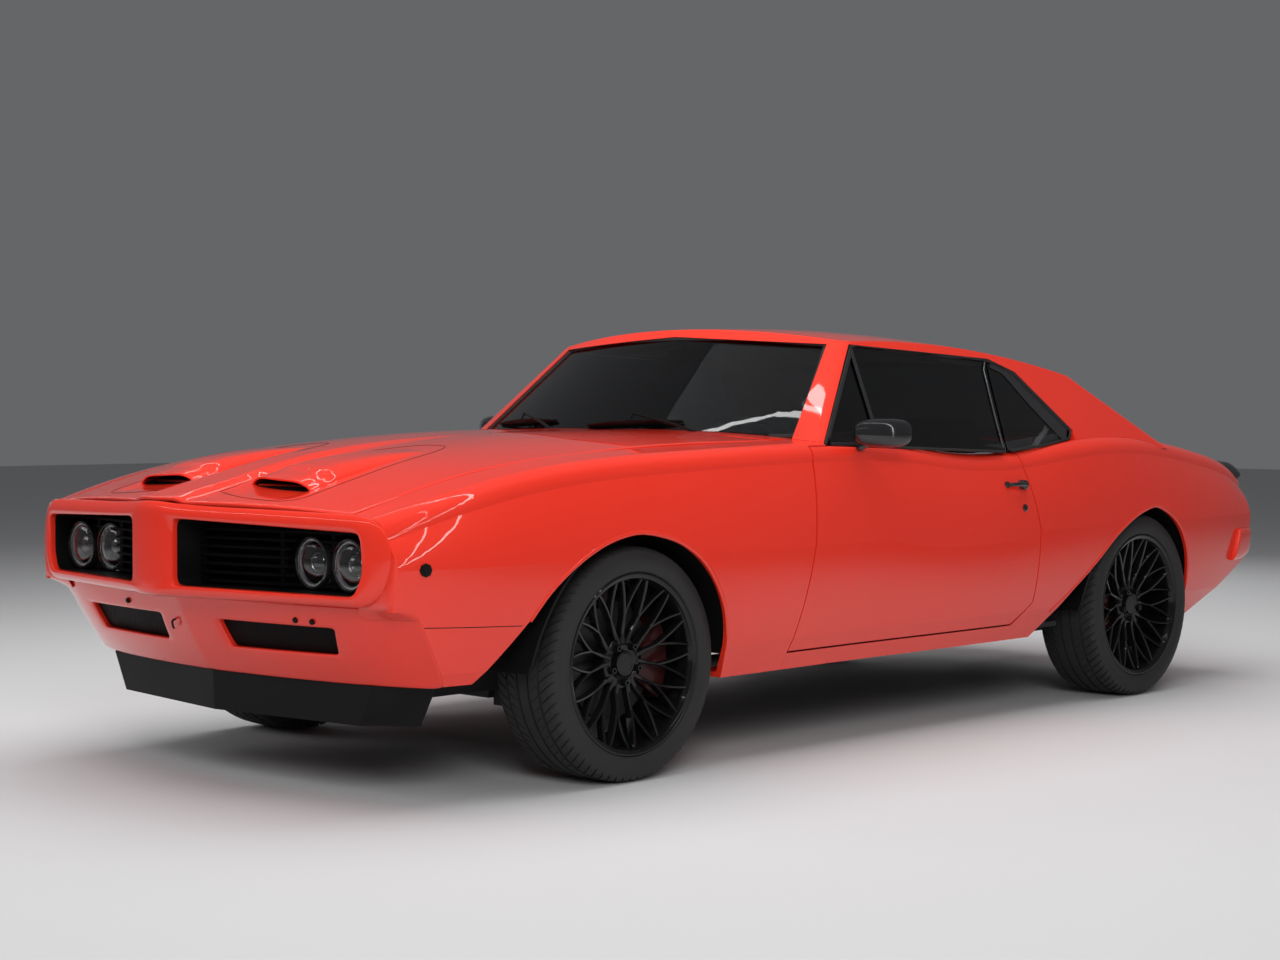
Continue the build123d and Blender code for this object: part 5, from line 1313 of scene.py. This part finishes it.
def makeRearPanel():
    wide, edge = tail["panelWide"], tail["panel"][0][0]
    rows = []
    for z, y in tail["panel"]:
        rise = (edge - z) * tail["panelRise"]
        rows.append([(x, y - tail["panelBow"] * (abs(x) / wide) ** 5, z + rise * (abs(x) / wide) ** 8)
                     for x in spread(-wide, wide, 28)])
    panel = skin("rearPanel", rows)
    shape(panel, rounded(1), walled(tail["panelThick"]))
    settle(panel, "body", "paint", hides=["rear_valance"], angle=60)


def makeLipSpoiler():
    wide, (middle, level) = tail["lipWide"], tail["lipMiddle"]
    rows = []
    for x in spread(-wide, wide, 32):
        fall = ease(abs(x), tail["lipFallFrom"], wide) * tail["lipFall"]
        rows.append([(x, middle + (y - middle) * (1 - 0.25 * fall),
                      level + (z - level) * (1 - fall if z > level else 1)) for y, z in tail["lip"]])
    lip = skin("lipSpoiler", rows, loop=True, caps=True)
    shape(lip, softEdge(tail["lipEdge"], tail["edgeLimit"]))
    settle(lip, "trunk", "black_trim", look=finishes["gloss_black"], hides=["spoiler"], angle=45)


def makePipes():
    tip = lathe("pipeTip", tail["pipeRings"], tail["pipe"], toRear, 40)
    settlePair(tip, onBody, "bare_steel", look=silverLook, angle=50)
    # a near-black disc a little inside each tip: the pipe's soot, and painted shade in place of its hollow
    sootAndShade = lathe("pipeSoot", tail["sootAndShadeRings"], tail["pipe"], toRear, 40)
    settlePair(sootAndShade, onBody, "black_trim", look=meshLook)


makeRearBumper()
makeTailLamps()
makeRearPanel()
makeLipSpoiler()
makePipes()
makeTailEnds()
print("tail made")

# seats: crowned pads with sewn channels; size, middle, lean in degrees, channel places across, bolster height
frontChannels = (-0.36, -0.12, 0.12, 0.36)
rearChannels = (-0.84, -0.68, -0.52, -0.36, -0.2, 0.2, 0.36, 0.52, 0.68, 0.84)
seats = {
    "frontBase": {"size": (0.440, 0.500, 0.170), "middle": (0.4175, 0.312, 0.388), "lean": 2.5,
                  "channels": frontChannels, "bolster": 0.022},
    "frontBack": {"size": (0.440, 0.620, 0.115), "middle": (0.4175, 0.640, 0.745), "lean": 77.5,
                  "channels": frontChannels, "bolster": 0.024},
    "rearBase": {"size": (1.110, 0.430, 0.150), "middle": (0, 1.018, 0.515), "lean": 3.0,
                 "channels": rearChannels, "bolster": 0.006},
    "rearBack": {"size": (1.110, 0.400, 0.105), "middle": (0, 1.345, 0.755), "lean": 69.0,
                 "channels": rearChannels, "bolster": 0.006},
}
# powers that round a pad, how far its sides draw in, how much it crowns, then its seams and bolsters
padForm = {"cuts": 35, "power": 7, "topPower": 3.5, "draw": 0.018, "crown": 0.20,
           "seamHalf": 0.006, "seamDeep": 0.010, "seamEnds": (0.93, 0.80), "bolsterAt": (0.42, 0.72)}


def pad(name):
    # a cube cut fine, rounded, drawn in between its corners, crowned and sewn along its channels
    form = seats[name]
    clear()
    bpy.ops.mesh.primitive_cube_add(size=2)
    piece = bpy.context.object
    piece.name = name
    bpy.ops.object.mode_set(mode="EDIT")
    bpy.ops.mesh.select_all(action="SELECT")
    bpy.ops.mesh.subdivide(number_cuts=padForm["cuts"])
    bpy.ops.object.mode_set(mode="OBJECT")
    wide, long, thick = (s / 2 for s in form["size"])
    power = padForm["power"]
    for vertex in piece.data.vertices:
        a, b, c = vertex.co
        swell = (abs(a) ** power + abs(b) ** power + abs(c) ** padForm["topPower"]) ** (1 / power)
        a, b, c = a / swell, b / swell, c / swell
        insideA, insideB = max(0, 1 - a * a), max(0, 1 - b * b)
        x = a * wide * (1 - padForm["draw"] * insideB)
        y = b * long * (1 - padForm["draw"] * insideA)
        z = c * thick * (1 - padForm["crown"] + padForm["crown"] * insideA * insideB)
        if c > 0:
            seam = max(math.exp(-((a - place) * wide / padForm["seamHalf"]) ** 2) for place in form["channels"])
            rise = form["bolster"] * ease(abs(a), *padForm["bolsterAt"]) - padForm["seamDeep"] * seam
            z += rise * ease(abs(b), *padForm["seamEnds"]) * c
        vertex.co = (x, y, z)
    turn = Matrix.Rotation(math.radians(form["lean"]), 4, "X")
    piece.data.transform(Matrix.Translation(form["middle"]) @ turn)
    return outward(piece)


def makeSeats():
    front = joined("frontSeat", [pad("frontBase"), pad("frontBack")])
    other = copied(front, "frontSeatRight", overSide)
    front.name = "frontSeatLeft"
    rear = joined("rearSeat", [pad("rearBase"), pad("rearBack")])
    for piece, node in ((front, "front_seats"), (other, "front_seats"), (rear, "rear_seat")):
        settle(piece, "body", "upholstery", hides=[node], angle=70)


makeSeats()
print("seats made")

# cabin: gauges, shift lever, inner mirror, door cards with armrests and cranks
cabin = {
    # gauges: x, height and radius; rings as radii added to it
    "gauges": ((0.300, 0.862, 0.040), (0.385, 0.872, 0.040), (0.462, 0.862, 0.032)), "dashFace": -0.3295,
    "gaugeRing": [(0.004, -0.004), (0.005, 0.008), (0.001, 0.013), (-0.003, 0.009), (-0.003, 0.001)],
    "needleOut": 0.005, "needleHalf": 0.0014,
    "lever": (0.0, 0.06, 0.452),
    "boot": [(0.060, 0.0), (0.052, 0.020), (0.038, 0.045), (0.036, 0.052), (0.020, 0.075), (0.011, 0.090),
             (0, 0.090)],
    "knob": [(0.008, -0.018), (0.018, -0.012), (0.024, 0.004), (0.021, 0.018), (0.010, 0.025), (0, 0.026)],
    "mirror": (0.0, -0.145, 1.262), "mirrorSize": (0.105, 0.028), "mirrorPower": 4,
    "mirrorRows": [(-0.014, 0.55), (-0.011, 0.85), (-0.002, 1.0), (0.008, 0.97), (0.010, 0.92)],
}
doorCard = {
    "foot": [(-0.500, 0.420), (0.560, 0.420)], "top": [(-0.490, 0.880), (0.600, 0.880)], "x": 0.7915,
    "proud": 0.010, "edge": (0.035, 0.06), "pleats": 20, "pleatDeep": 0.004, "pleatSpan": (0.12, 0.40),
    # the armrest: places along the car, height, width and half height, section in shares
    "restY": (-0.18, -0.165, 0.0, 0.2, 0.285, 0.30), "restZ": 0.655, "restOut": 0.008, "rest": (0.050, 0.022),
    "restForm": [(0, -1), (0.5, -0.95), (0.9, -0.6), (1, 0.1), (0.9, 0.8), (0.5, 1), (0, 1)],
    "crank": (0.02, 0.60), "grip": (-0.07, 0.585), "armHalf": 0.006,
    "crankRings": [(0.020, 0), (0.020, 0.012), (0.014, 0.018), (0, 0.018)],
    "gripRings": [(0.009, 0), (0.012, 0.006), (0.010, 0.024), (0, 0.026)],
}


def makeCabin():
    dash, needle = cabin["dashFace"], cabin["dashFace"] + cabin["needleOut"]
    rings, faces = [], []
    for x, z, r in cabin["gauges"]:
        ring = [(r + grow, deep) for grow, deep in cabin["gaugeRing"]]
        rings.append(lathe("gaugeRing", ring, (x, dash, z), toRear, 32))
        face = [(r - 0.002, 0.0015), (r * 0.2, 0.0020), (r * 0.16, 0.006), (0, 0.006)]
        faces.append(lathe("gaugeFace", face, (x, dash, z), toRear, 32))
        line = [(x, needle, z), (x - r * 0.5, needle, z - r * 0.45)]
        faces.append(rod("needle", line, cabin["needleHalf"], 6))
    settle(joined("gaugeRings", rings), "body", "bare_steel", look=silverLook)
    settle(joined("gaugeFaces", faces), "body", "cabin", look=dialLook)
    x, y, z = cabin["lever"]
    boot = lathe("shiftBoot", cabin["boot"], (x, y, z), None, 24)
    stem = rod("shiftStem", [(x, y, z + 0.08), (x, y + 0.012, z + 0.20)], 0.006, 10)
    knob = lathe("shiftKnob", cabin["knob"], (x, y + 0.013, z + 0.215), None, 24)
    settle(joined("shiftLever", [boot, stem, knob]), "body", "cabin", angle=60)
    x, y, z = cabin["mirror"]
    wide, high = cabin["mirrorSize"]
    rows = [[(x + wide * grow * c, y + step, z + high * grow * s) for c, s in squared(32, cabin["mirrorPower"])]
            for step, grow in cabin["mirrorRows"]]
    shell = skin("innerMirror", rows, loop=True, caps=True)
    stalk = rod("mirrorStalk", [(x, y - 0.010, z + 0.01), (x, y - 0.030, z + 0.045)], 0.006, 10)
    settle(joined("innerMirror", [shell, stalk]), "body", "cabin")


def makeDoorCards():
    base, (edgeS, edgeT) = doorCard["x"], doorCard["edge"]
    rows = []
    for t in spread(0, 1, 24):
        row = []
        for s in spread(0, 1, 40):
            y, z = between(between(*doorCard["foot"], s), between(*doorCard["top"], s), t)
            edge = min(ease(s, 0, edgeS), ease(1 - s, 0, edgeS), ease(t, 0, edgeT), ease(1 - t, 0, edgeT))
            pleated = doorCard["pleatSpan"][0] < t < doorCard["pleatSpan"][1]
            pleat = doorCard["pleatDeep"] * abs(math.sin(math.pi * s * doorCard["pleats"])) if pleated else 0
            row.append((base - doorCard["proud"] * edge - pleat * edge, y, z))
        rows.append(row)
    card = skin("doorCard", rows)
    wide, high = doorCard["rest"]
    section = [(base - doorCard["restOut"] - wide * w, doorCard["restZ"] + high * h) for w, h in doorCard["restForm"]]
    rows = [[(x, y, z) for x, z in section] for y in doorCard["restY"]]
    rest = skin("armRest", rows, caps=True)
    hub, end = doorCard["crank"], doorCard["grip"]
    crank = lathe("crankBoss", doorCard["crankRings"], (base - 0.010, *hub), toRight, 20)
    arm = rod("crankArm", [(base - 0.024, *hub), (base - 0.028, *end)], doorCard["armHalf"], 8)
    grip = lathe("crankGrip", doorCard["gripRings"], (base - 0.026, *end), toRight, 14)
    settlePair(joined("doorCard", [card, rest, crank, arm, grip]), onDoors, "cabin", angle=50)


dialLook = finish("dialFace", plasticBuild((0.05, 0.05, 0.052), 0.45, 0.0001, 300))
makeCabin()
makeDoorCards()
print("cabin fittings made")

# engine bay: air cleaner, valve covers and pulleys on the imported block, a finned radiator, panels beside them
bay = {
    "cleaner": (0.0, -1.330, 0.874),
    "cleanerRings": [(0.060, -0.026), (0.150, -0.020), (0.165, -0.010), (0.165, 0.030), (0.160, 0.038), (0.135, 0.042),
                     (0.130, 0.047), (0.040, 0.050), (0.014, 0.050), (0.012, 0.058), (0, 0.058)],
    # valve covers: x, ends, foot; half width, height and section in shares
    "covers": (0.205, -1.62, -0.98, 0.850), "coverSize": (0.072, 0.075), "coverSink": 0.02,
    "coverForm": [(-1, 0), (-1, 0.45), (-0.88, 0.78), (-0.5, 0.95), (0, 1), (0.5, 0.95), (0.88, 0.78), (1, 0.45),
                  (1, 0)],
    "coverRibs": (-0.03, 0, 0.03), "ribIn": 0.05, "ribUp": 0.055, "ribHalf": 0.006,
    # pulleys: x, height, radius; rings in shares of it
    "pulleys": ((0, 0.56, 0.085), (0.19, 0.70, 0.05), (-0.17, 0.72, 0.06)), "pulleyY": -1.7555,
    "pulleyRings": [(0.3, 0.0), (0.9, 0.004), (1, 0.010), (0.86, 0.018), (1, 0.026), (0.9, 0.032), (0.35, 0.026),
                    (0, 0.040)],
    # inner aprons before and behind the wheel liners: place along the car, x of the fender's inside, heights
    "aprons": {
        "frontApron": [(-2.120, 0.822, 0.45, 0.715), (-2.000, 0.842, 0.45, 0.715), (-1.900, 0.853, 0.45, 0.715),
                       (-1.735, 0.862, 0.45, 0.722)],
        "rearApron": [(-0.936, 0.884, 0.40, 0.735), (-0.850, 0.885, 0.40, 0.737), (-0.735, 0.885, 0.40, 0.738),
                      (-0.610, 0.885, 0.40, 0.738)],
    },
    # the aprons' inner x, then the bend from their wall to their shelf: out from it, down from the top
    "apronX": 0.620, "apronBend": [(0, 0.06), (0.006, 0.030), (0.030, 0.010), (0.070, 0.004)],
    # panels between the cowl's ends and the fenders: plan, then height and x of the fender's inside there
    "cowlPlan": [(0.728, -0.5556), (0.742, -0.572), (0.775, -0.590)], "cowlEnd": -0.592,
    "cowlSide": [(0.700, 0.884), (0.740, 0.884), (0.780, 0.8815), (0.820, 0.8730), (0.880, 0.8570), (0.930, 0.8435)],
    "panelThick": 0.003,
}
# radiator: half width, place along the car, foot, top; fins, tanks, posts and feet
radiator = {"half": 0.330, "y": -1.965, "low": 0.520, "high": 0.815, "fins": 44, "finGap": 0.03, "finHalf": 0.0035,
            "tankIn": 0.015, "tankHalf": [0.018, 0.028, 0.028, 0.018], "tankEnd": 0.01,
            "postOut": 0.006, "postHalf": 0.012, "footAt": 0.9, "footLow": 0.40, "footHalf": 0.010}


def makeBayPanels():
    inner = bay["apronX"]
    for name, stations in bay["aprons"].items():
        rows = []
        for y, wide, low, high in stations:
            bend = [(inner + out, y, high - down) for out, down in bay["apronBend"]]
            rows.append([(inner, y, low), *bend, (wide, y, high)])
        apron = skin(name, rows)
        shape(apron, rounded(1), walled(bay["panelThick"]))
        settlePair(apron, onBody, "underbody", angle=50)
    rows = [[*((x, y, z) for x, y in bay["cowlPlan"]), (wide, bay["cowlEnd"], z)] for z, wide in bay["cowlSide"]]
    panel = skin("cowlSide", rows)
    shape(panel, walled(bay["panelThick"]))
    settlePair(panel, onBody, "paint", angle=50)


def makeEngineDress():
    lid = lathe("airCleaner", bay["cleanerRings"], bay["cleaner"], None, 56)
    settle(lid, "body", "cast_metal", look=finishes["gloss_black"], angle=35)
    (side, start, end, base), (wide, high) = bay["covers"], bay["coverSize"]
    rows = []
    for t in spread(0, 1, 14):
        y, shut = start + (end - start) * t, min(1, 0.72 + 6 * min(t, 1 - t))
        rows.append([(side + wide * a * shut, y, base - bay["coverSink"] + high * b * (0.5 + 0.5 * shut))
                     for a, b in bay["coverForm"]])
    pieces = [skin("valveCover", rows, loop=True, caps=True)]
    for x in bay["coverRibs"]:
        line = [(side + x, y, base + bay["ribUp"]) for y in (start + bay["ribIn"], end - bay["ribIn"])]
        pieces.append(rod("coverRib", line, bay["ribHalf"], 8))
    settlePair(joined("valveCover", pieces), onBody, "cast_metal")
    pulleys = []
    for x, z, r in bay["pulleys"]:
        rings = [(r * share, deep) for share, deep in bay["pulleyRings"]]
        pulleys.append(lathe("pulley", rings, (x, bay["pulleyY"], z), toFront, 36))
    settle(joined("pulleys", pulleys), "body", "cast_metal")


def makeRadiator():
    wide, y, low, high = (radiator[key] for key in ("half", "y", "low", "high"))

    def upright(name, x, foot, top, half, count, flat):
        return rod(name, [(x, y, foot), (x, y, top)], half, count, flat, upright=(0, 1, 0))
    gap, inside, end = radiator["finGap"], radiator["tankIn"], wide + radiator["tankEnd"]
    pieces = [upright("fin", x, low + gap, high - gap, radiator["finHalf"], 4, 3.0)
              for x in spread(-wide, wide, radiator["fins"])]
    pieces += [rod("tank", [(x, y, z) for x in (-end, -wide, wide, end)], radiator["tankHalf"], 14, 0.9)
               for z in (low + inside, high - inside)]
    post, foot = wide + radiator["postOut"], wide * radiator["footAt"]
    pieces += [upright("post", s * post, low, high, radiator["postHalf"], 8, 1.5) for s in (1, -1)]
    pieces += [upright("foot", s * foot, low + 0.01, radiator["footLow"], radiator["footHalf"], 8, 1.0)
               for s in (1, -1)]
    settle(joined("radiator", pieces), "body", "underbody", look=finishes["black_trim"])


makeBayPanels()
makeEngineDress()
makeRadiator()
print("engine bay dressed")

stageLook = {"floor": 60.0, "floorShade": rgb(0.58, 0.58, 0.585), "worldShade": rgb(0.13, 0.132, 0.138)}
# name, place, aim, size x, size y, power, whether the paint mirrors it
lamps = [
    ("topSoft", (0.0, -0.2, 5.0), (0, -0.2, 0), 5.0, 8.0, 340, False),
    ("keySoft", (6.5, -6.5, 4.2), (0.3, -0.8, 0.5), 3.0, 3.0, 340, False),
    ("fillSoft", (-5.0, -6.0, 3.5), (0, -1, 0.6), 3.0, 3.0, 90, False),
    ("backSoft", (-4.0, 6.0, 3.8), (0, 0.6, 0.6), 4.0, 3.0, 110, False),
    ("tubeLeft", (2.5, -0.6, 3.3), (0.5, -0.4, 0.6), 0.07, 7.5, 14, True),
    ("tubeOuter", (4.6, -0.8, 3.0), (0.8, -0.4, 0.6), 0.07, 7.5, 14, True),
    ("tubeRight", (-2.5, -0.6, 3.3), (-0.5, -0.4, 0.6), 0.025, 7.5, 5, True),
    ("tubeNose", (0.4, -4.6, 3.2), (0, -1.8, 0.6), 6.0, 0.07, 12, True),
    ("tubeTail", (0.0, 4.8, 3.0), (0, 1.6, 0.6), 6.0, 0.03, 3, False),
]


def studio():
    bpy.ops.object.select_all(action="DESELECT")
    bpy.ops.mesh.primitive_plane_add(size=stageLook["floor"])
    floor = bpy.context.object
    floor.name = "studioFloor"
    pale = finish("paleFloor", lambda w: {"Roughness": 0.78 + 0.1 * w.place().noise(2, 3)},
                  Base_Color=stageLook["floorShade"])
    floor.data.materials.append(pale)
    for name, place, aim, sizeX, sizeY, power, mirrored in lamps:
        light = bpy.data.lights.new(name, "AREA")
        light.shape = "RECTANGLE"
        light.size = sizeX
        light.size_y = sizeY
        light.energy = power
        holder = bpy.data.objects.new(name, light)
        holder.location = place
        holder.rotation_euler = (Vector(aim) - Vector(place)).to_track_quat("-Z", "Y").to_euler()
        holder.visible_glossy = mirrored
        bpy.context.scene.collection.objects.link(holder)
    world = bpy.data.worlds.new("studioWorld")
    world.use_nodes = True
    world.node_tree.nodes["Background"].inputs["Color"].default_value = stageLook["worldShade"]
    bpy.context.scene.world = world


# fitted to the photograph's 1280 by 960 frame: angles in degrees, focal length in pixels
cameraFit = {"place": (5.2723, -5.9620, 1.0877), "azimuth": 43.489, "elevation": 1.904, "roll": 0.118,
             "focal": 2222.5, "frameWidth": 1280, "sensor": 36.0}


def photoCamera():
    lens = bpy.data.cameras.new("photoCamera")
    lens.sensor_width = cameraFit["sensor"]
    lens.lens = cameraFit["focal"] * cameraFit["sensor"] / cameraFit["frameWidth"]
    holder = bpy.data.objects.new("photoCamera", lens)
    turn = Matrix.Rotation(math.radians(cameraFit["azimuth"]), 3, "Z")
    tip = Matrix.Rotation(math.radians(90 - cameraFit["elevation"]), 3, "X")
    roll = Matrix.Rotation(math.radians(cameraFit["roll"]), 3, "Z")
    holder.location = cameraFit["place"]
    holder.rotation_euler = (turn @ tip @ roll).to_euler()
    bpy.context.scene.collection.objects.link(holder)
    bpy.context.scene.camera = holder


studio()
photoCamera()
bpy.context.scene.view_settings.view_transform = "Standard"
print("stage, lamps and camera set")
